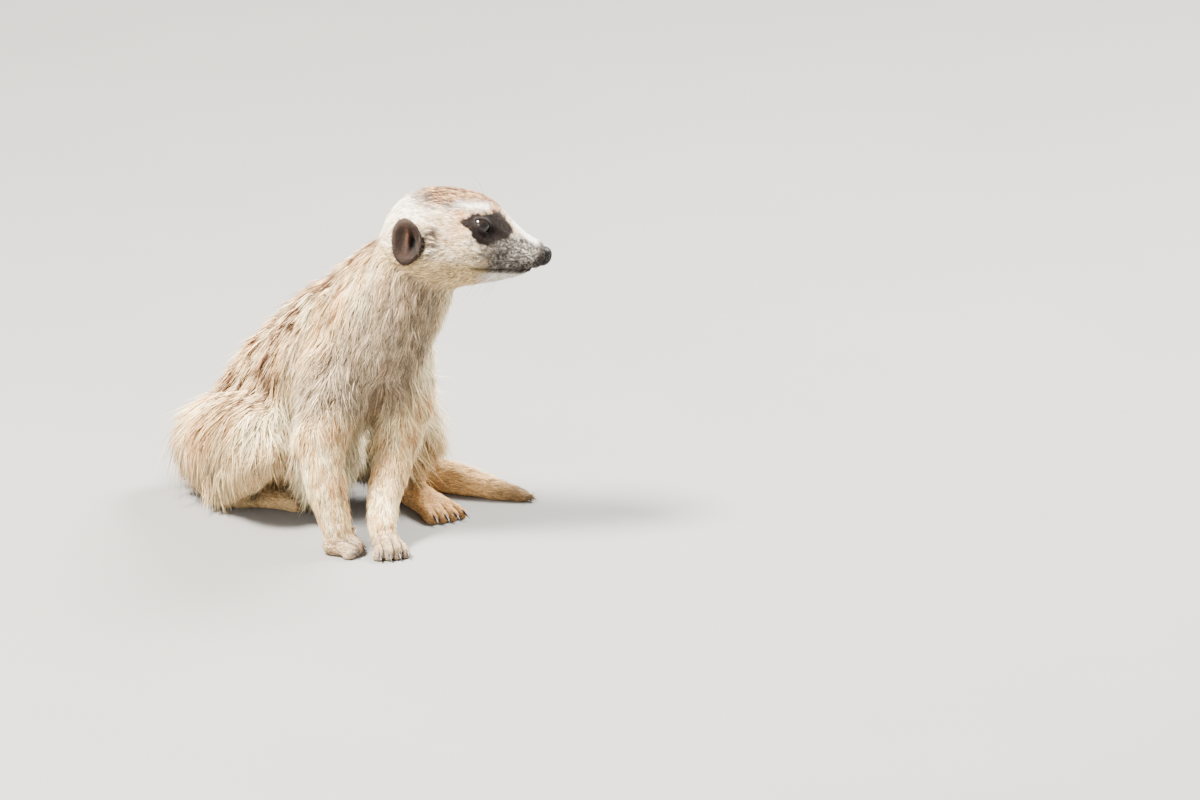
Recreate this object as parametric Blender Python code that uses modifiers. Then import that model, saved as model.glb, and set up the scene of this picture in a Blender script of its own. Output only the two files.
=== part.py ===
"""Life-size meerkat sitting back on its haunches, forelegs straight, head turned to look along +X.

The body is modelled whole, out to the tips of the coat: tubes of oval sections for trunk, neck, legs,
toes and tail, with a lofted head. The tubes are fused, flattened where they rest on the floor at Z = 0,
and parted into named pieces by cuts 0.3 mm thick. Eyes, ears, nose pad and claws are solids of their own.

Lengths below are in millimetres; MM turns them into metres where a mesh is made.
+X is the way the head looks, -Y the animal's right side, +Z up. The seat rests on the origin.
"""

import math

import bmesh
import bpy
import numpy as np
from mathutils import Matrix, Vector

MM = 0.001
GAP = 0.3                                   # clear space between neighbouring pieces
VOXEL = 1.5                                 # grid on which the tubes are fused
PAW_VOXEL = 0.8
BODY_TRIANGLES = 2200                       # budget of the fused body before it is parted
PAW_TRIANGLES = 200
FLOOR_BITE = 0.9                            # how far toes are pressed flat on the floor
BODY_SOFTENING = 12                         # rounds of smoothing after the tubes are fused
PAW_SOFTENING = 4

# Trunk: the way it faces, and its stations from rump to throat.
HEADING = math.radians(-54.0)
FORWARD = Vector((math.cos(HEADING), math.sin(HEADING), 0.0))
LEFT = Vector((-math.sin(HEADING), math.cos(HEADING), 0.0))
# (distance ahead of the seat, height, half width, half depth)
TRUNK = (
    (-19.0, 20.0, 15.0, 14.0),
    (-12.0, 21.0, 25.0, 20.0),
    (0.0, 25.0, 31.0, 27.5),
    (18.0, 43.0, 32.0, 30.5),
    (38.0, 63.0, 32.5, 33.0),
    (60.0, 80.0, 32.0, 34.0),
    (78.0, 97.0, 31.0, 33.0),
    (90.0, 110.0, 27.0, 29.0),
)
BELLY_PLACE = (60.0, -2.0, 40.0)            # ahead of the seat, to the left of it, height
BELLY_RADII = (27.0, 24.0, 27.0)
# neck: centre, half width, half depth
NECK = (
    ((60.0, -77.0, 108.0), 29.0, 35.0),
    ((72.5, -85.0, 128.0), 26.5, 30.5),
    ((82.0, -91.0, 144.0), 24.0, 25.5),
    ((90.0, -95.0, 157.0), 22.0, 22.0),
)

# Head: a frame of its own, +x to the nose and +z to the crown.
HEAD_PLACE = Vector((103.0, -97.0, 163.0))
NOSE_DROP = math.radians(9.0)
HEAD_LEAN = math.radians(-9.0)
# (distance ahead of the head's centre, top, widest height, bottom, half width)
SKULL = (
    (-36.0, 1.0, -5.0, -14.0, 8.0),
    (-33.0, 9.0, -5.0, -19.0, 15.0),
    (-27.0, 17.0, -5.0, -23.0, 20.5),
    (-17.0, 22.8, -4.0, -26.0, 24.5),
    (-7.0, 24.6, -4.0, -26.5, 24.8),
    (4.0, 24.4, -2.5, -25.0, 22.5),
    (13.0, 22.6, -0.5, -22.5, 19.2),
    (20.0, 18.8, 0.5, -20.5, 15.4),
    (27.0, 12.6, -1.5, -18.2, 11.8),
    (35.0, 6.9, -3.5, -14.8, 9.4),
    (42.0, 3.4, -4.0, -11.2, 7.6),
    (46.5, 1.6, -3.5, -7.8, 5.2),
)
NOSE_CENTRE = (45.6, 0.0, -1.6)
NOSE_RADII = (3.9, 4.3, 3.4)
EYE_CENTRE = (10.6, 14.2, 9.6)              # left eye; the right one is its mirror image
EYE_RADIUS = 5.2
EAR_CENTRE = (-24.0, 22.2, -2.0)
EAR_RADII = (8.6, 2.9, 11.8)
EAR_TURN = math.radians(16.0)               # front rim turned in to the cheek
EAR_HOLLOW_RADII = (4.6, 2.6, 7.0)
EAR_HOLLOW_SHIFT = (1.0, 2.6, 0.8)

# Legs: (centre, radius) from the body to the wrist or heel.
LEGS = {
    "foreleg_right": (((46.0, -86.0, 92.0), 20.0), ((37.5, -95.5, 66.0), 15.5),
                      ((36.5, -101.0, 47.0), 12.6), ((40.0, -104.0, 28.0), 10.2), ((44.0, -106.0, 13.0), 8.6)),
    "foreleg_left": (((75.0, -68.0, 92.0), 19.5), ((77.0, -73.0, 66.0), 15.0), ((73.5, -78.0, 45.0), 11.4),
                     ((67.0, -91.0, 25.0), 9.4), ((66.5, -101.5, 13.0), 8.2)),
    "hindleg_right": (((-14.0, -10.0, 27.5), 25.0), ((-4.0, -37.0, 40.0), 23.0), ((8.0, -61.0, 48.0), 18.5),
                      ((-1.0, -52.0, 28.0), 13.5), ((-12.0, -32.0, 11.0), 9.6)),
    "hindleg_left": (((16.0, 8.0, 34.0), 26.0), ((44.0, -5.0, 44.0), 24.0), ((72.0, -22.0, 49.0), 20.5),
                     ((82.0, -20.0, 28.0), 13.8), ((77.0, -17.0, 11.0), 9.6)),
}

# Paws: wrist or heel, the way the toes point in degrees, length to the toe tips, half width, claw length.
PAWS = {
    "forepaw_right": ((42.5, -106.0, 6.0), -12.0, 14.0, 7.2, 4.0),
    "forepaw_left": ((67.3, -102.0, 6.0), -72.0, 18.0, 7.2, 5.0),
    "hindpaw_right": ((-13.0, -27.0, 7.0), -7.0, 43.0, 7.4, 5.5),
    "hindpaw_left": ((76.0, -18.0, 7.0), -58.0, 47.0, 8.8, 5.5),
}
TOES = 4
TOE_FAN = math.radians(9.0)                 # how far the outer toes turn out
TOE_RADIUS = 3.3
OUTER_TOE_SHORTER = 1.6
CLAW_RADIUS = 1.05
CLAW_DROP = 2.1                             # how far a claw's point lies under its root

# Tail: (centre, radius), laid round behind the left thigh along the floor.
TAIL = (
    ((-13.0, 20.0, 16.0), 13.0),
    ((-10.0, 36.0, 11.0), 10.5),
    ((8.0, 45.0, 9.0), 9.4),
    ((41.0, 33.0, 8.6), 9.0),
    ((72.0, 14.0, 8.4), 8.8),
    ((96.0, -3.5, 7.8), 8.2),
    ((120.0, -15.0, 5.4), 5.8),
    ((134.0, -20.5, 3.2), 3.7),
    ((138.5, -22.5, 2.5), 2.9),
)


def beside_seat(ahead, left, height):
    """A point by its distances ahead of the seat, to the left of it and above the floor."""
    return FORWARD * ahead + LEFT * left + Vector((0.0, 0.0, height))


def facing(ahead, left, up):
    """A direction given along the trunk's heading, to its left and up."""
    return (FORWARD * ahead + LEFT * left + Vector((0.0, 0.0, up))).normalized()


# Cuts, in order: the piece that is parted, the node that comes off it, and a thin disc's centre,
# normal (towards the node that comes off) and radius.
CUTS = (
    ("rump", "head", Vector((83.0, -94.0, 148.0)), Vector((0.53, -0.05, 0.85)), 36.0),
    ("rump", "tail_base", Vector((-5.5, 40.0, 9.5)), Vector((0.65, 0.75, -0.1)), 15.0),
    ("tail_base", "tail_middle", Vector((41.0, 33.0, 8.0)), Vector((0.9, -0.42, 0.0)), 14.0),
    ("tail_middle", "tail_tip", Vector((96.0, -3.5, 7.0)), Vector((0.9, -0.42, 0.0)), 14.0),
    ("rump", "foreleg_upper_right", Vector((36.8, -97.5, 60.0)), facing(0.60, -0.25, -0.76), 22.0),
    ("rump", "foreleg_upper_left", Vector((76.0, -74.5, 60.0)), facing(0.60, 0.25, -0.76), 21.0),
    ("foreleg_upper_right", "foreleg_lower_right", Vector((38.0, -102.5, 38.0)),
     Vector((0.1, -0.1, -1.0)), 18.0),
    ("foreleg_upper_left", "foreleg_lower_left", Vector((71.0, -83.0, 37.0)),
     Vector((-0.3, -0.5, -0.8)), 18.0),
    ("rump", "thigh_right", beside_seat(25.0, -28.0, 45.0), facing(0.0, -0.93, -0.35), 62.0),
    ("rump", "thigh_left", beside_seat(28.0, 31.0, 45.0), facing(0.0, 0.93, -0.35), 62.0),
    ("thigh_right", "shank_right", Vector((-6.0, -42.0, 20.7)), Vector((0.32, -0.44, -0.83)), 48.0),
    ("thigh_left", "shank_left", Vector((80.0, -20.0, 27.0)), Vector((0.5, -0.2, -0.85)), 22.0),
    ("rump", "neck", Vector((62.0, -78.0, 111.0)), Vector((0.46, -0.40, 0.79)), 60.0),
    ("rump", "chest", beside_seat(36.0, 0.0, 61.0), facing(0.72, 0.0, 0.69), 70.0),
)

COLOURS = {
    "coat_cream": ((0.80, 0.66, 0.50, 1.0), 0.95),
    "coat_tan": ((0.72, 0.53, 0.36, 1.0), 0.95),
    "ear_dark": ((0.10, 0.065, 0.05, 1.0), 0.9),
    "eye_gloss": ((0.035, 0.02, 0.015, 1.0), 0.08),
    "nose_black": ((0.03, 0.028, 0.03, 1.0), 0.35),
    "claw_horn": ((0.06, 0.05, 0.05, 1.0), 0.35),
}


def clear_scene():
    """Remove every object, so that the model starts from nothing."""
    for item in list(bpy.data.objects):
        bpy.data.objects.remove(item, do_unlink=True)


def collection(name, hidden=False):
    """A new collection under the scene's own."""
    made = bpy.data.collections.new(name)
    bpy.context.scene.collection.children.link(made)
    made.hide_render = hidden
    return made


def material(name):
    """The Principled material of this name, made once."""
    found = bpy.data.materials.get(name)
    if found:
        return found
    colour, roughness = COLOURS[name]
    made = bpy.data.materials.new(name)
    made.use_nodes = True
    shader = made.node_tree.nodes["Principled BSDF"]
    shader.inputs["Base Color"].default_value = colour
    shader.inputs["Roughness"].default_value = roughness
    shader.inputs["Metallic"].default_value = 0.0
    return made


def add_object(name, points, faces, group):
    """An object from points in millimetres and their faces, normals outward."""
    mesh = bpy.data.meshes.new(name)
    mesh.from_pydata([tuple(Vector(p) * MM) for p in points], [], faces)
    made = bpy.data.objects.new(name, mesh)
    group.objects.link(made)
    shape = bmesh.new()
    shape.from_mesh(mesh)
    bmesh.ops.recalc_face_normals(shape, faces=shape.faces)
    shape.to_mesh(mesh)
    shape.free()
    return made


def smooth_path(stations, steps):
    """Catmull-Rom points through the stations, each a row of numbers, with steps in every span."""
    rows = np.array(stations, dtype=float)
    ends = np.vstack([2 * rows[0] - rows[1], rows, 2 * rows[-1] - rows[-2]])
    path = []
    for a, b, c, d in zip(ends, ends[1:], ends[2:], ends[3:]):
        for step in range(steps):
            t = step / steps
            path.append(0.5 * (2 * b + (c - a) * t + (2 * a - 5 * b + 4 * c - d) * t * t
                               + (3 * b - a - 3 * c + d) * t ** 3))
    path.append(rows[-1])
    return np.array(path)


def tube(name, stations, group, side=None, steps=4, sides=20, cap=(80.0, 50.0, 25.0)):
    """A closed tube of oval sections with round ends; a station is x, y, z, half width, half depth.

    The half width lies along side, the half depth square to it and to the path. The cap's angles
    place the rings that round off the ends."""
    path = smooth_path(stations, steps)
    centres = path[:, :3]
    along = np.gradient(centres, axis=0)
    along /= np.linalg.norm(along, axis=1)[:, None]
    reference = np.array(side if side is not None else (0.6, 0.8, 0.0), dtype=float)
    across = reference - along * (along @ reference)[:, None]
    across /= np.linalg.norm(across, axis=1)[:, None]
    depth = np.cross(along, across)
    rings = []
    for turn in cap:
        back = math.sin(math.radians(turn)) * path[0, 3:].min()
        rings.append((centres[0] - along[0] * back, 0, math.cos(math.radians(turn))))
    rings += [(centres[i], i, 1.0) for i in range(len(path))]
    for turn in reversed(cap):
        ahead = math.sin(math.radians(turn)) * path[-1, 3:].min()
        rings.append((centres[-1] + along[-1] * ahead, len(path) - 1, math.cos(math.radians(turn))))
    points = []
    for centre, i, scale in rings:
        for k in range(sides):
            angle = 2 * math.pi * k / sides
            points.append(centre + scale * (math.cos(angle) * path[i, 3] * across[i]
                                            + math.sin(angle) * path[i, 4] * depth[i]))
    return add_object(name, points, ring_faces(len(rings), sides), group)


def ring_faces(rings, sides):
    """Faces that join rings of points into one closed skin, with a face over each end."""
    faces = []
    for r in range(rings - 1):
        for k in range(sides):
            n = (k + 1) % sides
            faces.append((r * sides + k, r * sides + n, (r + 1) * sides + n, (r + 1) * sides + k))
    faces.append(tuple(range(sides)))
    faces.append(tuple((rings - 1) * sides + k for k in range(sides)))
    return faces


def round_stations(stations):
    """Stations of round sections as rows of x, y, z, radius, radius."""
    return [(*centre, radius, radius) for centre, radius in stations]


def head_frame():
    """The head's frame in the body's, in millimetres."""
    return (Matrix.Translation(HEAD_PLACE) @ Matrix.Rotation(NOSE_DROP, 4, "Y")
            @ Matrix.Rotation(HEAD_LEAN, 4, "X"))


def skull(group, sides=28):
    """The head: sections across its length, each with its own top, bottom and widest height."""
    sections = smooth_path(SKULL, 3)
    frame = head_frame()
    points = []
    for x, top, middle, bottom, half in sections:
        for k in range(sides):
            angle = 2 * math.pi * k / sides
            rise = top - middle if math.sin(angle) > 0 else middle - bottom
            points.append(frame @ Vector((x, half * math.cos(angle), middle + rise * math.sin(angle))))
    return add_object("skull", points, ring_faces(len(sections), sides), group)


def ellipsoid(name, frame, radii, group, segments=14, rings=8):
    """A closed ellipsoid in a frame given in millimetres."""
    shape = bmesh.new()
    bmesh.ops.create_uvsphere(shape, u_segments=segments, v_segments=rings, radius=1.0)
    mesh = bpy.data.meshes.new(name)
    place = frame @ Matrix.Diagonal((*radii, 1.0))
    for vert in shape.verts:
        vert.co = (place @ vert.co) * MM
    shape.normal_update()
    bmesh.ops.recalc_face_normals(shape, faces=shape.faces)
    shape.to_mesh(mesh)
    shape.free()
    made = bpy.data.objects.new(name, mesh)
    group.objects.link(made)
    return made


def apply_modifiers(item):
    """Bake an object's modifiers into its mesh."""
    view = bpy.context.evaluated_depsgraph_get()
    mesh = bpy.data.meshes.new_from_object(item.evaluated_get(view))
    item.modifiers.clear()
    item.data = mesh


def combine(item, other, operation):
    """An exact Boolean of item with other, applied at once."""
    step = item.modifiers.new(operation.lower(), "BOOLEAN")
    step.operation = operation
    step.solver = "EXACT"
    step.object = other
    apply_modifiers(item)


def join(name, items, group):
    """One object that holds the meshes of all items, which are removed."""
    shape = bmesh.new()
    for item in items:
        shape.from_mesh(item.data)
        bpy.data.objects.remove(item, do_unlink=True)
    mesh = bpy.data.meshes.new(name)
    shape.to_mesh(mesh)
    shape.free()
    made = bpy.data.objects.new(name, mesh)
    group.objects.link(made)
    return made


def toe_tips(paw):
    """Root, tip and direction of each toe of a paw, fanned a little about its heading."""
    wrist, heading, length, half, _ = PAWS[paw]
    toes = []
    for i in range(TOES):
        offset = (i - (TOES - 1) / 2) / ((TOES - 1) / 2)
        angle = math.radians(heading) + TOE_FAN * offset
        ahead = Vector((math.cos(angle), math.sin(angle), 0.0))
        middle = Vector((math.cos(math.radians(heading)), math.sin(math.radians(heading)), 0.0))
        across = Vector((-middle.y, middle.x, 0.0))
        reach = length - OUTER_TOE_SHORTER * abs(offset)
        root = Vector(wrist) + middle * (length * 0.45) + across * (offset * half * 0.55)
        tip = Vector(wrist) + middle * (reach - TOE_RADIUS) + across * (offset * half * 0.92)
        root.z = 5.0
        tip.z = TOE_RADIUS - FLOOR_BITE
        toes.append((root, tip, ahead))
    return toes


def paw_pieces(paw, group):
    """The sole and toes of one paw."""
    wrist, heading, length, half, _ = PAWS[paw]
    angle = math.radians(heading)
    ahead = Vector((math.cos(angle), math.sin(angle), 0.0))
    start = Vector(wrist)
    middle = start + ahead * (length * 0.5)
    front = start + ahead * (length * 0.72)
    sole = tube(paw + "_sole", [(*start, half * 0.86, 6.6), (*middle.xy, 5.2, half * 0.92, 5.8),
                                (*front.xy, 4.3, half, 4.9)], group, side=(-ahead.y, ahead.x, 0.0))
    pieces = [sole]
    for i, (root, tip, _) in enumerate(toe_tips(paw)):
        stations = [(*root, 3.4, 3.6), (*((root + tip) / 2 + Vector((0, 0, 0.7))), 3.3, 3.5),
                    (*tip, TOE_RADIUS - 0.2, TOE_RADIUS)]
        pieces.append(tube(f"{paw}_toe_{i}", stations, group, steps=2, sides=12))
    return pieces


def claw(name, paw, toe, grow, group):
    """One curved claw, wider at its root; grow thickens it, for the pocket it sits in."""
    _, tip, ahead = toe_tips(paw)[toe]
    length = PAWS[paw][4]
    root = tip + ahead * (TOE_RADIUS * 0.45) + Vector((0.0, 0.0, 1.3))
    stations = []
    for t in (0.0, 0.5, 1.0):
        drop = 0.5 * t - (CLAW_DROP + 0.5) * t * t
        place = root + ahead * (length * t) + Vector((0.0, 0.0, drop))
        radius = CLAW_RADIUS * (1.0 - 0.62 * t) + grow
        stations.append((*place, radius * 0.85, radius))
    return tube(name, stations, group, side=(-ahead.y, ahead.x, 0.0), steps=1, sides=6, cap=(60.0,))


def fuse(name, pieces, work, voxel, rounds):
    """One closed skin over all the pieces, made on a grid and softened."""
    whole = join(name, pieces, work)
    remesh = whole.modifiers.new("fuse", "REMESH")
    remesh.mode = "VOXEL"
    remesh.voxel_size = voxel * MM
    soften = whole.modifiers.new("soften", "SMOOTH")
    soften.factor = 0.5
    soften.iterations = rounds
    apply_modifiers(whole)
    return whole


def thin_out(item, triangles):
    """Collapse a dense skin to about this many triangles."""
    count = sum(len(face.vertices) - 2 for face in item.data.polygons)
    thin = item.modifiers.new("thin", "DECIMATE")
    thin.ratio = triangles / count
    thin.use_collapse_triangulate = True
    apply_modifiers(item)


def fused_body(work):
    """Trunk, neck, head, legs and tail as one closed skin."""
    trunk = []
    for ahead, height, width, depth in TRUNK:
        trunk.append((*beside_seat(ahead, 0.0, height), width, depth))
    neck = [(*centre, width, depth) for centre, width, depth in NECK]
    belly_frame = Matrix.Translation(beside_seat(*BELLY_PLACE)) @ Matrix.Rotation(HEADING, 4, "Z")
    pieces = [
        tube("trunk_form", trunk, work, side=LEFT, sides=28),
        ellipsoid("belly_form", belly_frame, BELLY_RADII, work),
        tube("neck_form", neck, work, side=LEFT, sides=24),
        skull(work),
        tube("tail_form", round_stations(TAIL), work),
    ]
    for name, stations in LEGS.items():
        pieces.append(tube(name + "_form", round_stations(stations), work))
    body = fuse("rump", pieces, work, VOXEL, BODY_SOFTENING)
    thin_out(body, BODY_TRIANGLES)
    return body


def floor_block(work):
    """A flat block whose top is the floor."""
    shape = bmesh.new()
    bmesh.ops.create_cube(shape, size=1.0)
    mesh = bpy.data.meshes.new("under_floor")
    for vert in shape.verts:
        vert.co = Vector((vert.co.x * 0.6, vert.co.y * 0.6, (vert.co.z - 0.5) * 0.05))
    shape.to_mesh(mesh)
    shape.free()
    block = bpy.data.objects.new("under_floor", mesh)
    work.objects.link(block)
    return block


def disc(name, centre, normal, radius, work):
    """A thin round cutter."""
    shape = bmesh.new()
    bmesh.ops.create_cone(shape, cap_ends=True, segments=32, radius1=radius * MM, radius2=radius * MM,
                          depth=GAP * MM)
    turn = Vector((0.0, 0.0, 1.0)).rotation_difference(normal.normalized())
    place = Matrix.Translation(centre * MM) @ turn.to_matrix().to_4x4()
    bmesh.ops.transform(shape, matrix=place, verts=shape.verts)
    mesh = bpy.data.meshes.new(name)
    shape.to_mesh(mesh)
    shape.free()
    made = bpy.data.objects.new(name, mesh)
    work.objects.link(made)
    return made


def grown(item, work):
    """A copy of an object moved outward by the gap along its normals, to cut a pocket with clearance."""
    mesh = item.data.copy()
    copy = bpy.data.objects.new(item.name + "_pocket", mesh)
    work.objects.link(copy)
    swell = copy.modifiers.new("swell", "DISPLACE")
    swell.mid_level = 0.0
    swell.strength = GAP * MM
    apply_modifiers(copy)
    return copy


def islands(item):
    """The separate closed shells of an object, as lists of their faces' indices."""
    shape = bmesh.new()
    shape.from_mesh(item.data)
    shape.faces.ensure_lookup_table()
    unseen = set(range(len(shape.faces)))
    found = []
    while unseen:
        front = [unseen.pop()]
        shell = []
        while front:
            index = front.pop()
            shell.append(index)
            for edge in shape.faces[index].edges:
                for face in edge.link_faces:
                    if face.index in unseen:
                        unseen.remove(face.index)
                        front.append(face.index)
        found.append(shell)
    shape.free()
    return found


def shell_object(name, item, shell, group):
    """A new object made of one shell of another."""
    shape = bmesh.new()
    shape.from_mesh(item.data)
    keep = set(shell)
    bmesh.ops.delete(shape, geom=[f for f in shape.faces if f.index not in keep], context="FACES")
    mesh = bpy.data.meshes.new(name)
    shape.to_mesh(mesh)
    shape.free()
    made = bpy.data.objects.new(name, mesh)
    group.objects.link(made)
    return made


def part(pieces, cut, work):
    """Saw one piece through with a thin disc, and name the half that lies ahead of it."""
    source, name, centre, normal, radius = cut
    whole = pieces[source]
    combine(whole, disc("cut_" + name, centre, normal, radius, work), "DIFFERENCE")
    halves = [shell_object("half", whole, shell, work) for shell in islands(whole)]
    bpy.data.objects.remove(whole, do_unlink=True)
    halves.sort(key=lambda half: len(half.data.polygons), reverse=True)
    if len(halves) != 2:
        print(f"cut {name}: {[len(half.data.polygons) for half in halves]} faces in its pieces")
    for half in halves[:2]:
        middle = sum((vert.co for vert in half.data.vertices), Vector()) / len(half.data.vertices)
        ahead = (middle - centre * MM).dot(normal) > 0.0
        half.name = name if ahead else source
        pieces[half.name] = half


def finish(item, name, slot, parts):
    """Name a finished piece, give it its material and move it to the model's collection."""
    for group in list(item.users_collection):
        group.objects.unlink(item)
    parts.objects.link(item)
    item.name = name
    item.data.name = name
    item.data.materials.clear()
    item.data.materials.append(material(slot))


def main():
    clear_scene()
    parts = collection("meerkat")
    work = collection("cutters", hidden=True)
    floor = floor_block(work)
    body = fused_body(work)
    combine(body, floor, "DIFFERENCE")

    paws = {}
    for name in PAWS:
        paw = fuse(name, paw_pieces(name, work), work, PAW_VOXEL, PAW_SOFTENING)
        thin_out(paw, PAW_TRIANGLES)
        combine(paw, floor, "DIFFERENCE")
        combine(body, grown(paw, work), "DIFFERENCE")
        for toe in range(TOES):
            nail = claw(f"{name}_claw_{toe + 1}", name, toe, 0.0, work)
            combine(paw, claw("pocket", name, toe, GAP, work), "DIFFERENCE")
            finish(nail, f"{name}_claw_{toe + 1}", "claw_horn", parts)
        paws[name] = paw

    frame = head_frame()
    nose = ellipsoid("nose", frame @ Matrix.Translation(NOSE_CENTRE), NOSE_RADII, work, 12, 7)
    combine(body, grown(nose, work), "DIFFERENCE")
    finish(nose, "nose", "nose_black", parts)
    for side, sign in (("left", 1.0), ("right", -1.0)):
        mirror = Matrix.Diagonal((1.0, sign, 1.0, 1.0))
        eye = ellipsoid("eye", frame @ mirror @ Matrix.Translation(EYE_CENTRE), (EYE_RADIUS,) * 3, work)
        combine(body, grown(eye, work), "DIFFERENCE")
        finish(eye, "eye_" + side, "eye_gloss", parts)
        seat = frame @ mirror @ Matrix.Translation(EAR_CENTRE) @ Matrix.Rotation(EAR_TURN, 4, "Z")
        ear = ellipsoid("ear", seat, EAR_RADII, work)
        combine(body, grown(ear, work), "DIFFERENCE")
        hollow = ellipsoid("hollow", seat @ Matrix.Translation(EAR_HOLLOW_SHIFT), EAR_HOLLOW_RADII, work, 10, 6)
        combine(ear, hollow, "DIFFERENCE")
        finish(ear, "ear_" + side, "ear_dark", parts)

    pieces = {"rump": body}
    for cut in CUTS:
        part(pieces, cut, work)
    for name, item in pieces.items():
        finish(item, name, "coat_tan" if name.startswith("tail") else "coat_cream", parts)
    for name, item in paws.items():
        finish(item, name, "coat_cream", parts)
    for item in list(work.objects):
        bpy.data.objects.remove(item, do_unlink=True)


main()
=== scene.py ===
"""Looks of a life-size meerkat that sits back on its haunches with its head turned along +X.

One skin replaces the nodes of flesh and lies inside them by the depth of the coat. Over it stand solid
tufts that follow the lie of the coat. Skin and tufts take their colours from the same functions of place.
Lengths are in millimetres until a mesh is made; MM turns them into metres.
"""

import itertools
import logging
import math
from dataclasses import dataclass, field
from enum import Enum

import bmesh
import bpy
import numpy as np
from bpy.types import ID, Material, Mesh, Node, NodeSocket, NodeTree, Object
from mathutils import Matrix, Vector


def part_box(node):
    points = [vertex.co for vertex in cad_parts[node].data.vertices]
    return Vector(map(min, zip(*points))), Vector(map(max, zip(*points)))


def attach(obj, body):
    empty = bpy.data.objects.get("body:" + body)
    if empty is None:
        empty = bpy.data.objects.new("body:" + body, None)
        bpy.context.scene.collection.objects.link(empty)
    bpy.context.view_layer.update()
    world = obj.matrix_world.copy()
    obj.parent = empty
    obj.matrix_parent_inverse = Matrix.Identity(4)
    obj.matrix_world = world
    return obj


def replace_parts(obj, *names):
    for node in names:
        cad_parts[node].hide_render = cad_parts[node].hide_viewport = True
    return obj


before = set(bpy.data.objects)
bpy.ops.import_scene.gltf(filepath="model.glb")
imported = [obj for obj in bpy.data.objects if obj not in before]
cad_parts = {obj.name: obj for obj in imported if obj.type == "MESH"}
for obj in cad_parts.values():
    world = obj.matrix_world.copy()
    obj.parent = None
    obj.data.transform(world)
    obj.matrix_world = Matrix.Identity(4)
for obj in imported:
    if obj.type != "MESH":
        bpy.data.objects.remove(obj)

Array = np.ndarray
Pair = tuple[Array, Array]
Triple = tuple[float, float, float]

MM = 0.001
TURN = 2 * math.pi
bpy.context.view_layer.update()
COLOUR = "coat"                # colour attribute that skin and tufts share
GRID_SHIFT = 4096.0            # keeps the cells of the noise positive
LOG = logging.getLogger("meerkat")


# ---------------------------------------------------------------- colours and fields

def linear(red: float, green: float, blue: float) -> Array:
    """Scene-linear colour of display values from 0 to 255."""
    value = np.array([red, green, blue]) / 255.0
    return np.where(value <= 0.04045, value / 12.92, ((value + 0.055) / 1.055) ** 2.4)


class Tint(Enum):
    """Colours of the coat, in display values."""
    CREAM = (248, 213, 154)
    WHITE = (252, 244, 230)
    PALE = (255, 235, 192)
    PEACH = (232, 170, 108)
    TAN = (190, 132, 80)
    GOLD = (230, 168, 100)
    GINGER = (146, 98, 60)
    BROWN = (84, 50, 30)
    UMBER = (44, 31, 24)
    GREY = (102, 95, 91)
    SALT = (204, 180, 148)
    CHARCOAL = (26, 18, 15)
    EAR = (42, 32, 26)
    SKIN_DARK = (18, 14, 13)

    @property
    def rgb(self) -> Array:
        """The colour in scene-linear values."""
        return linear(*self.value)


def mix(first: Array | Tint, second: Array | Tint, share: Array | float) -> Array:
    """Colours blended from first to second by a share for each row."""
    start, end = (colour.rgb if isinstance(colour, Tint) else colour for colour in (first, second))
    return start + (end - start) * np.asarray(share)[..., None]


def layers(colour: Array, *marks: tuple[Array | Tint, Array | float]) -> Array:
    """The colour with marks laid over it in turn, each a colour and its share.

    Args:
        colour: what the marks are laid on.
        marks: a colour and its share for each mark.

    Returns:
        The last of the blended colours.
    """
    for tint, share in marks:
        colour = mix(colour, tint, share)
    return colour


def unit(vectors: Array) -> Array:
    """Vectors of length one along the last axis."""
    return vectors / (np.linalg.norm(vectors, axis=-1, keepdims=True) + 1e-9)


def tangent(vectors: Array, normals: Array) -> Array:
    """The part of each vector that lies across its normal."""
    return vectors - normals * (vectors * normals).sum(axis=1, keepdims=True)


def mirrored(place: Triple, sign: float) -> Array:
    """A place in the head's frame, on the left for +1 and on the right for -1."""
    return np.array(place) * np.array([1.0, sign, 1.0])


def circle(count: int) -> Array:
    """Angles that divide a full turn evenly."""
    return np.linspace(0.0, TURN, count, endpoint=False)


def ramp(values: Array, low: float, high: float) -> Array:
    """Smooth step: 0 below low, 1 above high, 3t^2 - 2t^3 between; low may be the larger."""
    t = np.clip((values - low) / (high - low), 0.0, 1.0)
    return t * t * (3.0 - 2.0 * t)


def bell(values: Array, centre: float, width: float) -> Array:
    """Bell curve exp(-((values - centre) / width)^2)."""
    return np.exp(-((values - centre) / width) ** 2)


def scramble(cells: Array, seed: int) -> Array:
    """A fixed pseudo-random number from 0 to 1 for each row of whole numbers.

    The numbers are multiplied by primes, folded together with the seed, then shifted and multiplied again.

    Args:
        cells: rows of three whole numbers.
        seed: 0 or more; another seed gives other numbers.

    Returns:
        One number for each row.
    """
    rows = cells.astype(np.uint64)
    value = rows[..., 0] * np.uint64(73856093) ^ rows[..., 1] * np.uint64(19349663)
    value ^= rows[..., 2] * np.uint64(83492791) ^ np.uint64(seed * 2654435761 % 2 ** 32)
    for shift, factor in ((13, 1274126177), (16, 2246822519)):
        value = (value ^ (value >> np.uint64(shift))) * np.uint64(factor) & np.uint64(0xFFFFFFFF)
    return (value ^ (value >> np.uint64(15))).astype(np.float64) / 2 ** 32


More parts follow.
